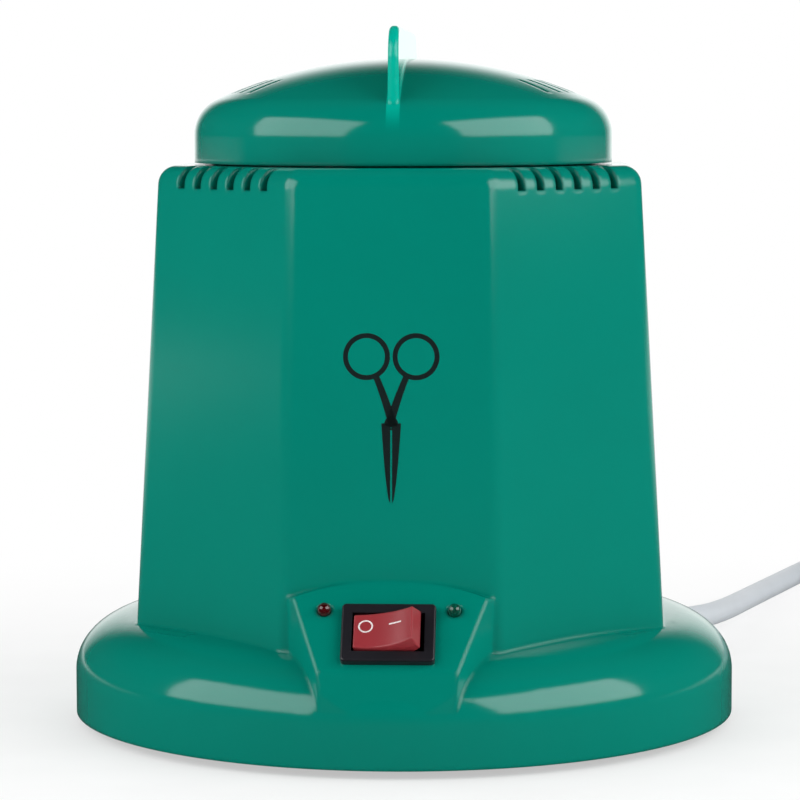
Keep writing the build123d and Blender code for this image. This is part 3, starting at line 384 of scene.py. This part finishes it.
def cord_jacket(name, colour):
    """Extruded jacket: faint clouds of tone over a fine grain, a little translucent at the skin."""
    material, tree, surface = shader(name)
    place = object_coordinates(tree)
    clouds = noise(tree, place, 18 * MM, 3.0)
    fine = noise(tree, place, 0.5 * MM, 3.0)
    tree.links.new(ramp(tree, clouds, tones(colour, 0.03)), surface.inputs["Base Color"])
    tree.links.new(scaled(tree, fine, 0.36, 0.5), surface.inputs["Roughness"])
    tree.links.new(bump(tree, fine, 0.25, 0.03 * MM), surface.inputs["Normal"])
    surface.inputs["Subsurface Weight"].default_value = 0.12
    surface.inputs["Subsurface Radius"].default_value = (1.0, 0.9, 0.8)
    surface.inputs["Subsurface Scale"].default_value = 1.2 * MM
    return material


def lens_plastic(name, colour, glow):
    """A small tinted lamp lens: clear plastic over a faceted diffuser, unlit, with a painted glow: each
    facet's middle is painted in a brighter glow colour.
    """
    material, tree, surface = shader(name)
    place = object_coordinates(tree)
    cells = node(tree, "ShaderNodeTexVoronoi", Vector=place, Scale=1 / (0.9 * MM)).outputs["Distance"]
    # painted glow: the brighter glow colour in each facet's middle, easing to the lens colour at its edges
    tree.links.new(ramp(tree, cells, [(0.1, glow), (0.8, colour)]), surface.inputs["Base Color"])
    tree.links.new(bump(tree, cells, 0.2, 0.05 * MM), surface.inputs["Normal"])
    surface.inputs["Roughness"].default_value = 0.08
    surface.inputs["Transmission Weight"].default_value = 0.25
    surface.inputs["Coat Weight"].default_value = 0.6
    surface.inputs["Coat Roughness"].default_value = 0.03
    return material


def turned_metal(name, colour, roughness, pitch=0.6 * MM):
    """Spun or turned metal: rings about the Z axis in gloss and height."""
    material, tree, surface = shader(name)
    place = object_coordinates(tree)
    rings = node(
        tree, "ShaderNodeTexWave", Vector=place, Scale=1 / (WAVE_TURN * pitch), Distortion=1.5, Detail=3.0
    )
    rings.wave_type = "RINGS"
    rings.rings_direction = "Z"
    value = rings.outputs["Fac"]
    smudge = noise(tree, place, 15 * MM, 4.0)
    surface.inputs["Metallic"].default_value = 1.0
    tree.links.new(ramp(tree, smudge, tones(colour, 0.05)), surface.inputs["Base Color"])
    tree.links.new(scaled(tree, value, roughness * 0.75, roughness * 1.25), surface.inputs["Roughness"])
    tree.links.new(bump(tree, value, 0.3, 0.02 * MM), surface.inputs["Normal"])
    return material


def plated_sheet(name, colour, roughness, spangle=4 * MM):
    """Zinc or nickel plate: faint crystals in tone over a fine rolled grain."""
    material, tree, surface = shader(name)
    place = object_coordinates(tree)
    crystals = node(tree, "ShaderNodeTexVoronoi", Vector=place, Scale=1 / spangle).outputs["Color"]
    grey = node(tree, "ShaderNodeRGBToBW", Color=crystals).outputs["Val"]
    rolled = noise(tree, object_coordinates(tree, scale=(1, 12, 12)), 3 * MM, 4.0)
    surface.inputs["Metallic"].default_value = 1.0
    tree.links.new(ramp(tree, grey, tones(colour, 0.07)), surface.inputs["Base Color"])
    tree.links.new(scaled(tree, grey, roughness * 0.8, roughness * 1.2), surface.inputs["Roughness"])
    tree.links.new(bump(tree, rolled, 0.2, 0.02 * MM), surface.inputs["Normal"])
    return material


def glass_fibre(name, colour):
    """Needled glass-fibre mat: tangled long fibres in tone and height."""
    material, tree, surface = shader(name)
    fibres = noise(tree, object_coordinates(tree, scale=(1, 1, 6)), 1.5 * MM, 6.0, 0.7)
    crossing = noise(tree, object_coordinates(tree, scale=(6, 6, 1)), 1.5 * MM, 6.0, 0.7)
    value = math_node(tree, "MAXIMUM", fibres, crossing)
    tree.links.new(ramp(tree, value, tones(colour, 0.18)), surface.inputs["Base Color"])
    tree.links.new(bump(tree, value, 0.8, 0.4 * MM), surface.inputs["Normal"])
    surface.inputs["Roughness"].default_value = 0.95
    surface.inputs["Sheen Weight"].default_value = 0.3
    return material


def foot_rubber(name):
    """Moulded rubber with dust in its grain."""
    material, tree, surface = shader(name)
    place = object_coordinates(tree)
    speck = noise(tree, place, 0.6 * MM, 5.0, 0.7)
    tree.links.new(
        ramp(tree, speck, [(0.35, (0.012, 0.012, 0.013)), (0.75, (0.035, 0.034, 0.033))]),
        surface.inputs["Base Color"],
    )
    tree.links.new(bump(tree, speck, 0.5, 0.05 * MM), surface.inputs["Normal"])
    surface.inputs["Roughness"].default_value = 0.8
    return material


def printed_ink(name, colour):
    """Pad-printed ink: thin satin film with tiny pinholes of tone."""
    material, tree, surface = shader(name)
    place = object_coordinates(tree)
    speck = noise(tree, place, 0.3 * MM, 3.0)
    tree.links.new(ramp(tree, speck, tones(colour, 0.25)), surface.inputs["Base Color"])
    tree.links.new(scaled(tree, speck, 0.28, 0.4), surface.inputs["Roughness"])
    tree.links.new(bump(tree, speck, 0.2, 0.01 * MM), surface.inputs["Normal"])
    return material


def core_wire(name):
    """Wire insulation: brown on one side of the cord's line and blue on the other."""
    material, tree, surface = shader(name)
    turn = math.pi / 2 - CORD_EXIT_AZIMUTH
    place = object_coordinates(tree, rotation=(0, 0, turn))
    across = node(tree, "ShaderNodeSeparateXYZ", Vector=place).outputs["X"]
    half_join = 0.2 * MM
    side = scaled(tree, across, 0.0, 1.0)
    side.node.inputs["From Min"].default_value = -half_join
    side.node.inputs["From Max"].default_value = half_join
    tree.links.new(
        ramp(tree, side, [(0.45, (0.11, 0.035, 0.012)), (0.55, (0.015, 0.08, 0.36))]),
        surface.inputs["Base Color"],
    )
    fine = noise(tree, place, 0.7 * MM, 2.0)
    tree.links.new(scaled(tree, fine, 0.3, 0.45), surface.inputs["Roughness"])
    return material


# Mesh helpers


def mesh_piece(name, points, faces, material, smooth=True):
    """A mesh object at the origin from arrays of points and faces."""
    mesh = bpy.data.meshes.new(name)
    mesh.from_pydata(np.asarray(points, float).tolist(), [], [list(f) for f in faces])
    mesh.validate()
    mesh.polygons.foreach_set("use_smooth", np.full(len(mesh.polygons), smooth))
    mesh.materials.append(material)
    mesh.update()
    made = bpy.data.objects.new(name, mesh)
    bpy.context.scene.collection.objects.link(made)
    return made


def grid_faces(rows, columns, close_rows=False, close_columns=False, first=0):
    """Quads of a grid of points in row order, closed round either way if asked."""
    r = np.arange(rows if close_rows else rows - 1)[:, None]
    c = np.arange(columns if close_columns else columns - 1)[None, :]
    r_next, c_next = (r + 1) % rows, (c + 1) % columns
    here, beyond = r * columns, r_next * columns
    quads = np.stack([here + c, here + c_next, beyond + c_next, beyond + c], -1)
    return quads.reshape(-1, 4) + first


def swept_band(path, normals, half_width, thickness, across):
    """A flat band along a closed path: its section is a rounded rectangle.

    Point = path + normal * height(t) + across * offset(t), where t runs round a superellipse of
    exponent 4 with half-axes half_width and thickness / 2.
    """
    t = np.linspace(0, 2 * np.pi, 20, endpoint=False)
    power = 0.5
    offset = half_width * np.sign(np.cos(t)) * np.abs(np.cos(t)) ** power
    height = thickness / 2 * np.sign(np.sin(t)) * np.abs(np.sin(t)) ** power
    points = path[:, None] + normals[:, None] * height[None, :, None] + across * offset[None, :, None]
    return points.reshape(-1, 3), grid_faces(len(path), len(t), True, True)


def finish_nodes(names, material):
    """Gives the frame's nodes a material in each of their slots."""
    for name in names:
        for place in frame["nodes"][name].material_slots:
            place.material = material


# Flat signs: rings, strokes and filled outlines in a plane of their own


def ring_outline(centre, radius, stroke, count=64):
    """A flat ring: radius outside, stroke wide; points on two circles."""
    t = np.linspace(0, 2 * np.pi, count, endpoint=False)
    radii = np.array([radius - stroke, radius])
    points = np.stack([centre[0] + np.outer(radii, np.cos(t)), centre[1] + np.outer(radii, np.sin(t))], -1)
    return points.reshape(-1, 2), grid_faces(2, count, False, True)


def ribbon_outline(left, right):
    """A flat strip between two rows of points."""
    left, right = np.asarray(left, float), np.asarray(right, float)
    return np.concatenate([left, right]), grid_faces(2, len(left))


def bent_stroke(start, control, end, width, count=24):
    """A stroke along a quadratic curve: B(t) = (1-t)^2 a + 2t(1-t) b + t^2 c, widened to both sides."""
    t = np.linspace(0, 1, count)[:, None]
    a, b, c = (np.array(p, float) for p in (start, control, end))
    line = (1 - t) ** 2 * a + 2 * t * (1 - t) * b + t**2 * c
    along = 2 * (1 - t) * (b - a) + 2 * t * (c - b)
    side = np.stack([-along[:, 1], along[:, 0]], 1) / np.linalg.norm(along, axis=1)[:, None]
    wide = np.linspace(width[0], width[1], count)[:, None] / 2
    return ribbon_outline(line - side * wide, line + side * wide)


def joined(shapes):
    """Several flat shapes as one set of points and faces."""
    points, faces, first = [], [], 0
    for shape_points, shape_faces in shapes:
        points.append(shape_points)
        faces.extend((np.asarray(shape_faces) + first).tolist())
        first += len(shape_points)
    return np.concatenate(points), faces


def laid_on(name, shapes, place, material, thickness):
    """Flat shapes put on a surface by place(x, y), given a thin film's thickness outwards."""
    points, faces = joined(shapes)
    made = mesh_piece(name, place(points[:, 0], points[:, 1]), faces, material, smooth=False)
    film = made.modifiers.new("film", "SOLIDIFY")
    film.thickness = thickness
    film.offset = 1.0
    return made


# The pieces


class STERILIZER_OT_stage(bpy.types.Operator):
    """Makes the camera, floor, world and softboxes"""

    bl_idname = "sterilizer.stage"
    bl_label = "Stage"

    def execute(self, context):
        settings = context.scene.sterilizer_stage
        self.camera(context, settings)
        self.floor()
        self.world(context, settings)
        for name, azimuth, share in SOFTBOXES:
            self.softbox(name, math.radians(azimuth), share * settings.softbox_radiance)
        context.scene.view_settings.view_transform = "Standard"
        return {"FINISHED"}

    def camera(self, context, settings):
        """The photograph's place, lens and direction."""
        data = bpy.data.cameras.new("camera")
        data.sensor_width = 36.0
        data.lens = settings.lens
        camera = bpy.data.objects.new("camera", data)
        context.scene.collection.objects.link(camera)
        camera.location = np.array(CAMERA_PLACE) * MM
        turn = (
            Matrix.Rotation(settings.heading, 3, "Z")
            @ Matrix.Rotation(math.pi / 2 - settings.pitch, 3, "X")
            @ Matrix.Rotation(settings.roll, 3, "Z")
        )
        camera.rotation_mode = "QUATERNION"
        camera.rotation_quaternion = turn.to_quaternion()
        context.scene.camera = camera

    def floor(self):
        """A wide pale disc: radius and azimuth on a grid, flat and a hair under the feet.

        The camera sees it fade to white away from the part; reflections see it dark in front and
        white behind.
        """
        radii = np.array([0.001, 0.2, 0.5, 1.0, 2.0, 6.0])
        turn = np.linspace(0, 2 * np.pi, 96, endpoint=False)
        x, y = np.outer(radii, np.cos(turn)), np.outer(radii, np.sin(turn))
        hair = 0.02 * MM
        points = np.stack([x, y, np.full_like(x, -hair)], -1).reshape(-1, 3)
        material, tree, surface = shader("pale_floor")
        place = object_coordinates(tree)
        speck = noise(tree, place, 25 * MM, 4.0)
        pale = ramp(tree, speck, [(0.3, (0.86, 0.86, 0.86)), (0.7, (0.9, 0.9, 0.9))])
        tree.links.new(pale, surface.inputs["Base Color"])
        surface.inputs["Roughness"].default_value = 0.9
        surface.inputs["Specular IOR Level"].default_value = 0.1
        rays = tree.nodes.new("ShaderNodeLightPath").outputs
        away = node(tree, "ShaderNodeVectorMath", Vector=place)
        away.operation = "LENGTH"
        fade_reach, fade_share = (0.08, 0.3), (0.5, 1.0)
        fade = eased(tree, away.outputs["Value"], fade_reach, fade_share)
        seen = math_node(tree, "MULTIPLY", fade, rays["Is Camera Ray"])
        behind = node(tree, "ShaderNodeSeparateXYZ", Vector=place).outputs["Y"]
        white = node(tree, "ShaderNodeEmission", Strength=1.0)
        mirror_reach, mirror_light = (0.05, 0.8), (0.04, 1.0)
        glow = eased(tree, behind, mirror_reach, mirror_light)
        mirrored = node(tree, "ShaderNodeEmission", Strength=glow)
        lit = mixed(tree, seen, surface.outputs["BSDF"], white.outputs["Emission"])
        sharp = math_node(tree, "MAXIMUM", rays["Is Glossy Ray"], rays["Is Transmission Ray"])
        whole = mixed(tree, sharp, lit, mirrored.outputs["Emission"])
        tree.links.new(whole, tree.nodes["Material Output"].inputs["Surface"])
        made = mesh_piece("floor", points, grid_faces(len(radii), len(turn), False, True), material)
        made.data.flip_normals()

    def world(self, context, settings):
        """White to the camera; in reflections white low down behind the part and dark elsewhere."""
        world = bpy.data.worlds.new("surround")
        context.scene.world = world
        world.use_nodes = True
        tree = world.node_tree
        rays = tree.nodes.new("ShaderNodeLightPath").outputs
        direction = tree.nodes.new("ShaderNodeTexCoord").outputs["Generated"]
        heading = node(tree, "ShaderNodeSeparateXYZ", Vector=direction).outputs
        darkest, left_above, front_share, side_share = 0.02, 0.05, 0.1, 2.5
        behind = eased(tree, heading["Y"], WHITE_BEHIND, (darkest, settings.surround))
        low = eased(tree, heading["Z"], WHITE_FADES_UP, (1.0, left_above))
        shade = math_node(tree, "MULTIPLY", behind, low)
        sharp = math_node(tree, "MAXIMUM", rays["Is Glossy Ray"], rays["Is Transmission Ray"])
        soft_light = (front_share * settings.ambient, side_share * settings.ambient)
        around = eased(tree, heading["Y"], SIDE_LIGHT, soft_light)
        soft = node(tree, "ShaderNodeMix", Factor=sharp, A=around, B=shade)
        seen = node(tree, "ShaderNodeMix", Factor=rays["Is Camera Ray"], A=soft.outputs["Result"], B=1.0)
        background = tree.nodes["Background"]
        background.inputs["Color"].default_value = (1, 1, 1, 1)
        tree.links.new(seen.outputs["Result"], background.inputs["Strength"])

    def softbox(self, name, azimuth, radiance):
        """A rectangular softbox that looks at the part's middle; its power is radiance * pi * area."""
        data = bpy.data.lights.new(name, "AREA")
        data.shape = "RECTANGLE"
        data.size = SOFTBOX_WIDTH
        data.size_y = SOFTBOX_HEIGHT
        data.energy = radiance * math.pi * SOFTBOX_WIDTH * SOFTBOX_HEIGHT
        light = bpy.data.objects.new(name, data)
        bpy.context.scene.collection.objects.link(light)
        out = np.array([
            math.sin(azimuth) * math.cos(SOFTBOX_ELEVATION),
            -math.cos(azimuth) * math.cos(SOFTBOX_ELEVATION),
            math.sin(SOFTBOX_ELEVATION),
        ])
        light.location = out * SOFTBOX_DISTANCE + Z_AXIS * SOFTBOX_AIM
        light.rotation_mode = "QUATERNION"
        light.rotation_quaternion = Vector(out).to_track_quat("Z", "Y")


class STERILIZER_OT_lead(bpy.types.Operator):
    """Lays the mains cord from the strain relief through its put-away coil to the plug, with its tie"""

    bl_idname = "sterilizer.lead"
    bl_label = "Mains lead"

    def execute(self, context):
        settings = context.scene.sterilizer_lead
        finish = context.scene.sterilizer_finish
        jacket = cord_jacket("cord_jacket", finish.cord)
        out = np.array([math.cos(CORD_EXIT_AZIMUTH), math.sin(CORD_EXIT_AZIMUTH), 0])
        start = out * RELIEF_TIP_RADIUS + Z_AXIS * CORD_HEIGHT
        route = np.array(CORD_ROUTE) * MM
        to_plug = np.array(PLUG_ROUTE) * MM
        points = np.concatenate([[start], route, self.coil(), to_plug])
        lead = self.curve("mains_lead", points, jacket)
        moulded = ("strain_relief", "cord_tail", "plug_body")
        finish_nodes(moulded, jacket)
        tie = self.tie(settings.tie_thickness)
        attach(lead, "base")
        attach(tie, "base")
        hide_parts("power_cord", "cord_coil", "cord_plug_end")
        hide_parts("cord_tie")
        return {"FINISHED"}

    def coil(self):
        """Turns beside and on each other: a circle whose radius and height ease from place to place.

        The radius is swelled by what the spline cuts off inside its control points. The last turn has
        no next place, so its change never begins.
        """
        s = np.arange(0, COIL_TURNS + 1e-6, 1 / POINTS_PER_TURN)
        turn = np.minimum(s.astype(int), len(COIL_PLACES) - 1)
        places = np.array(COIL_PLACES, float)
        after = places[np.minimum(turn + 1, len(places) - 1)]
        never = 2.0
        begins = np.array([*COIL_SHIFT_START, never])[turn]
        t = np.clip((s - turn - begins) / COIL_SHIFT_SPAN, 0, 1)
        place = places[turn] + (after - places[turn]) * (t * t * (3 - 2 * t))[:, None]
        half = CORD_DIAMETER / 2
        swell = 1 / (1 - (1 - math.cos(2 * math.pi / POINTS_PER_TURN)) / 4)
        radius = (COIL_MID_RADIUS - half + place[:, 0] * CORD_DIAMETER) * swell
        angle = COIL_ENTRY - 2 * np.pi * s
        x = COIL_CENTRE[0] * MM + radius * np.cos(angle)
        y = COIL_CENTRE[1] * MM + radius * np.sin(angle)
        z = COIL_LOW + half + place[:, 1] * CORD_DIAMETER
        return np.stack([x, y, z], 1)

    def curve(self, name, points, material):
        """A round cord on one smooth spline with the points as its control points."""
        data = bpy.data.curves.new(name, "CURVE")
        data.dimensions = "3D"
        spline = data.splines.new("NURBS")
        spline.points.add(len(points) - 1)
        spline.points.foreach_set("co", np.column_stack([points, np.ones(len(points))]).ravel())
        spline.order_u = 3
        spline.use_endpoint_u = True
        spline.resolution_u = 6
        data.bevel_depth = CORD_DIAMETER / 2
        data.bevel_resolution = 6
        data.materials.append(material)
        made = bpy.data.objects.new(name, data)
        bpy.context.scene.collection.objects.link(made)
        return made

    def tie(self, thickness):
        """A strip round the coil's two rows and three layers: a superellipse loop stood across them."""
        gap = 0.15 * MM
        half_stack = 1.5 * CORD_DIAMETER
        half_across = CORD_DIAMETER + gap + thickness / 2
        half_high = half_stack + gap + thickness / 2
        turn = np.linspace(0, 2 * np.pi, 96, endpoint=False)
        power = 0.32
        across = half_across * np.sign(np.cos(turn)) * np.abs(np.cos(turn)) ** power
        up = half_high * np.sign(np.sin(turn)) * np.abs(np.sin(turn)) ** power
        out = np.array([math.cos(TIE_AZIMUTH), math.sin(TIE_AZIMUTH), 0])
        along = np.array([-out[1], out[0], 0])
        centre = np.array([*COIL_CENTRE, 0]) * MM + out * COIL_MID_RADIUS
        centre = centre + Z_AXIS * (COIL_LOW + half_stack)
        path = centre + across[:, None] * out + up[:, None] * Z_AXIS
        step = np.roll(path, -1, 0) - np.roll(path, 1, 0)
        normals = np.cross(along, step)
        normals /= np.linalg.norm(normals, axis=1)[:, None]
        points, faces = swept_band(path, normals, TIE_WIDTH / 2, thickness, along)
        return mesh_piece("coil_tie", points, faces, satin_plastic("tie_strip", (0.75, 0.76, 0.77), 0.5))


def paint_light_on_fin(material, colour):
    """Painted light through the lid's thin crest: a brighter green painted into the base colour, mixed in by
    a share.

    The share of painted light is 1 where |x| is within the crest's half thickness and z is over the dome,
    and eases to 0.
    In the colour mix, socket 0 is the share, 6 and 7 are the two colours and output 2 is the result.
    """
    tree = material.node_tree
    surface = tree.nodes["Principled BSDF"]
    plain = surface.inputs["Base Color"].links[0].from_socket
    place = node(tree, "ShaderNodeSeparateXYZ", Vector=object_coordinates(tree)).outputs
    across = node(tree, "ShaderNodeMath", Value=place["X"])
    across.operation = "ABSOLUTE"
    thin = eased(tree, across.outputs["Value"], FIN_HALF, (1.0, 0.0))
    high = eased(tree, place["Z"], FIN_FOOT, (0.0, 1.0))
    # share of the painted light on the crest
    both = math_node(tree, "MULTIPLY", thin, high)
    lit = node(tree, "ShaderNodeMix")
    lit.data_type = "RGBA"
    tree.links.new(both, lit.inputs[0])
    tree.links.new(plain, lit.inputs[6])
    lit.inputs[7].default_value = (*colour, 1.0)
    tree.links.new(lit.outputs[2], surface.inputs["Base Color"])


class STERILIZER_OT_moulding(bpy.types.Operator):
    """Finishes the housing and the lid in glossy green moulded plastic"""

    bl_idname = "sterilizer.moulding"
    bl_label = "Housing and lid"

    def execute(self, context):
        finish = context.scene.sterilizer_finish
        green = moulded_plastic(
            "green_moulding", finish.green, finish.green_roughness, edge=finish.edge_softness
        )
        # paints light into the crest's base colour: brighter green where it is thin
        paint_light_on_fin(green, tuple(FIN_PAINTED_LIGHT * c for c in finish.green))
        finish_nodes(("housing", "lid"), green)
        return {"FINISHED"}


class STERILIZER_OT_sign(bpy.types.Operator):
    """Prints a plain scissors sign on the front facet"""

    bl_idname = "sterilizer.sign"
    bl_label = "Printed sign"

    def execute(self, context):
        settings = context.scene.sterilizer_print
        ink = printed_ink("print_ink", context.scene.sterilizer_finish.print_ink)
        unit = settings.height
        shapes = []
        for side in (-1, 1):
            centre = (side * SIGN_RING[0], SIGN_RING[1])
            shank = [(side * x, y) for x, y in SIGN_SHANK]
            shapes.append(ring_outline(centre, SIGN_RING_RADIUS, SIGN_RING_STROKE))
            shapes.append(bent_stroke(*shank, SIGN_SHANK_WIDTH))
            shapes.append(self.blade(-side))
        shapes.append(ring_outline((0, SIGN_PIN_Y), SIGN_PIN_RADIUS, SIGN_PIN_STROKE))

        def place(x, y):
            z = settings.low_z + y * unit
            share = (z - ROOT_Z) / (TOP_Z - ROOT_Z)
            front = ROOT_APOTHEM + (TOP_APOTHEM - ROOT_APOTHEM) * share
            return np.stack([settings.centre_x + x * unit, -front - SIGN_FILM_GAP, z], 1)

        made = laid_on("front_sign", shapes, place, ink, settings.ink)
        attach(made, "base")
        return {"FINISHED"}

    def blade(self, side):
        """A closed blade: straight inside, and outside x = side * (gap + width * (1 - t)^0.6)."""
        t = np.linspace(0, 1, 30)
        y = SIGN_PIN_Y * (1 - t)
        inner = np.stack([np.full_like(t, side * SIGN_BLADE_GAP), y], 1)
        outer = np.stack([side * (SIGN_BLADE_GAP + SIGN_BLADE_WIDTH * (1 - t) ** 0.6), y], 1)
        return ribbon_outline(inner, outer) if side > 0 else ribbon_outline(outer, inner)


class STERILIZER_OT_switch(bpy.types.Operator):
    """Finishes the switch, its red rocker with the O and I marks, and its blades"""

    bl_idname = "sterilizer.switch"
    bl_label = "Rocker switch"

    def execute(self, context):
        finish = context.scene.sterilizer_finish
        finish_nodes(("switch_body",), satin_plastic("bezel_black", finish.black, 0.34))
        finish_nodes(("switch_rocker",), moulded_plastic("rocker_red", finish.rocker, 0.3, edge=0.25 * MM))
        finish_nodes(("switch_tabs",), plated_sheet("blade_plate", (0.7, 0.68, 0.62), 0.28))
        white = printed_ink("mark_white", (0.8, 0.72, 0.72))
        marks = laid_on("rocker_marks", self.shapes(), self.on_rocker, white, 0.04 * MM)
        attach(marks, "rocker")
        return {"FINISHED"}

    def shapes(self):
        """The O ring and the I bar, in the rocker's own plane."""
        mark_y, stroke = 1.2 * MM, 0.36 * MM
        ring_x, ring_radius = -4.3 * MM, 1.62 * MM
        bar_start, bar_end = 1.0 * MM, 4.0 * MM
        ring = ring_outline((ring_x, mark_y), ring_radius, stroke, 48)
        x = np.linspace(bar_start, bar_end, 12)
        low = np.stack([x, np.full_like(x, mark_y - stroke / 2)], 1)
        high = np.stack([x, np.full_like(x, mark_y + stroke / 2)], 1)
        return [ring, ribbon_outline(low, high)]

    def on_rocker(self, x, y):
        """The rocker's top: z = R + bottom - sqrt(R^2 - x^2), tilted about the pivot."""
        pivot = next(j for j in frame["joints"] if j["name"] == "rocker_pivot")
        up_slope = np.array(pivot["axis"], float)
        out = np.cross(X_AXIS, up_slope)
        radius = (ROCKER_TOP_HALF**2 + ROCKER_SADDLE**2) / (2 * ROCKER_SADDLE)
        bottom = ROCKER_END_HEIGHT - ROCKER_SADDLE
        z = bottom + radius - np.sqrt(radius**2 - x**2) + PIVOT_DROP + MARK_FILM_GAP
        across = x * math.cos(ROCKER_TILT) - z * math.sin(ROCKER_TILT)
        above = x * math.sin(ROCKER_TILT) + z * math.cos(ROCKER_TILT)
        origin = np.array(pivot["pos_m"], float)
        return origin + across[:, None] * X_AXIS + above[:, None] * out + y[:, None] * up_slope


class STERILIZER_OT_lamps(bpy.types.Operator):
    """Finishes the two pilot lamps and their holders"""

    bl_idname = "sterilizer.lamps"
    bl_label = "Pilot lamps"

    def execute(self, context):
        black = satin_plastic("holder_black", context.scene.sterilizer_finish.black, 0.4)
        # the second colour of each lens is its painted glow
        red = lens_plastic("red_lens", (0.05, 0.002, 0.003), (0.1, 0.004, 0.005))
        green = lens_plastic("green_lens", (0.002, 0.06, 0.035), (0.004, 0.11, 0.07))
        finish_nodes(("pilot_lamp_red",), red)
        finish_nodes(("pilot_lamp_green",), green)
        finish_nodes(("lamp_holder_red", "lamp_holder_green"), black)
        return {"FINISHED"}


class STERILIZER_OT_underside(bpy.types.Operator):
    """Finishes the base plate, the feet and the screws"""

    bl_idname = "sterilizer.underside"
    bl_label = "Underside"

    def execute(self, context):
        plate = satin_plastic("plate_black", (0.02, 0.02, 0.022), 0.5, 0.4 * MM)
        finish_nodes(("base_plate", "cord_clamp"), plate)
        feet = [n for n in frame["nodes"] if n.startswith("foot_")]
        finish_nodes(feet, foot_rubber("foot_rubber"))
        fasteners = [n for n in frame["nodes"] if any(word in n for word in ("screw", "nut", "rivet"))]
        finish_nodes(fasteners, plated_sheet("screw_zinc", (0.62, 0.62, 0.63), 0.3, 1.5 * MM))
        return {"FINISHED"}


class STERILIZER_OT_heater(bpy.types.Operator):
    """Finishes the pot, its heater, the insulation, the shield and the safety parts"""

    bl_idname = "sterilizer.heater"
    bl_label = "Pot and heater"

    def execute(self, context):
        finish_nodes(("chamber_pot",), turned_metal("spun_aluminium", (0.79, 0.79, 0.8), 0.3))
        sheet = plated_sheet("zinc_sheet", (0.6, 0.61, 0.63), 0.36)
        finish_nodes(("deck_plate", "heat_shield", "thermostat_strap", "fuse_clip"), sheet)
        finish_nodes(("heater_band",), turned_metal("heater_sheath", (0.42, 0.4, 0.38), 0.42, 1.2 * MM))
        finish_nodes(("insulation_blanket",), glass_fibre("glass_fibre", (0.72, 0.7, 0.63)))
        finish_nodes(("thermostat",), satin_plastic("phenolic", (0.05, 0.028, 0.018), 0.45))
        finish_nodes(("thermal_fuse",), plated_sheet("fuse_can", (0.66, 0.55, 0.4), 0.3, 1.0 * MM))
        return {"FINISHED"}


class STERILIZER_OT_wiring(bpy.types.Operator):
    """Finishes the terminal block, the wires and the plug's pins"""

    bl_idname = "sterilizer.wiring"
    bl_label = "Wiring"

    def execute(self, context):
        finish_nodes(("terminal_block",), satin_plastic("block_plastic", (0.7, 0.67, 0.6), 0.45))
        finish_nodes(("cord_cores",), core_wire("core_insulation"))
        nickel = plated_sheet("pin_nickel", (0.74, 0.71, 0.66), 0.22, 2 * MM)
        finish_nodes(("plug_pin_left", "plug_pin_right"), nickel)
        return {"FINISHED"}


class STERILIZER_PT_panel(bpy.types.Panel):
    """The sterilizer's tools in the sidebar"""

    bl_label = "Sterilizer"
    bl_idname = "STERILIZER_PT_panel"
    bl_space_type = "VIEW_3D"
    bl_region_type = "UI"
    bl_category = "Sterilizer"

    def draw(self, context):
        for operator in OPERATORS:
            self.layout.operator(operator.bl_idname)
        for name, group in SETTINGS.items():
            box = self.layout.box()
            box.label(text=group.__doc__)
            for key in group.__annotations__:
                box.prop(getattr(context.scene, name), key)


SETTINGS = {
    "sterilizer_finish": SterilizerFinish,
    "sterilizer_lead": SterilizerLead,
    "sterilizer_print": SterilizerPrint,
    "sterilizer_stage": SterilizerStage,
}
OPERATORS = (
    STERILIZER_OT_stage,
    STERILIZER_OT_lead,
    STERILIZER_OT_moulding,
    STERILIZER_OT_sign,
    STERILIZER_OT_switch,
    STERILIZER_OT_lamps,
    STERILIZER_OT_underside,
    STERILIZER_OT_heater,
    STERILIZER_OT_wiring,
)


def register():
    """Registers the settings, operators and panel."""
    for name, group in SETTINGS.items():
        bpy.utils.register_class(group)
        setattr(bpy.types.Scene, name, bpy.props.PointerProperty(type=group))
    for item in (*OPERATORS, STERILIZER_PT_panel):
        bpy.utils.register_class(item)


def unregister():
    """Takes the panel, operators and settings away again."""
    for item in (STERILIZER_PT_panel, *reversed(OPERATORS)):
        bpy.utils.unregister_class(item)
    for name, group in SETTINGS.items():
        delattr(bpy.types.Scene, name)
        bpy.utils.unregister_class(group)


def main():
    register()
    for operator in OPERATORS:
        category, name = operator.bl_idname.split(".")
        getattr(getattr(bpy.ops, category), name)()


if __name__ == "__main__":
    main()
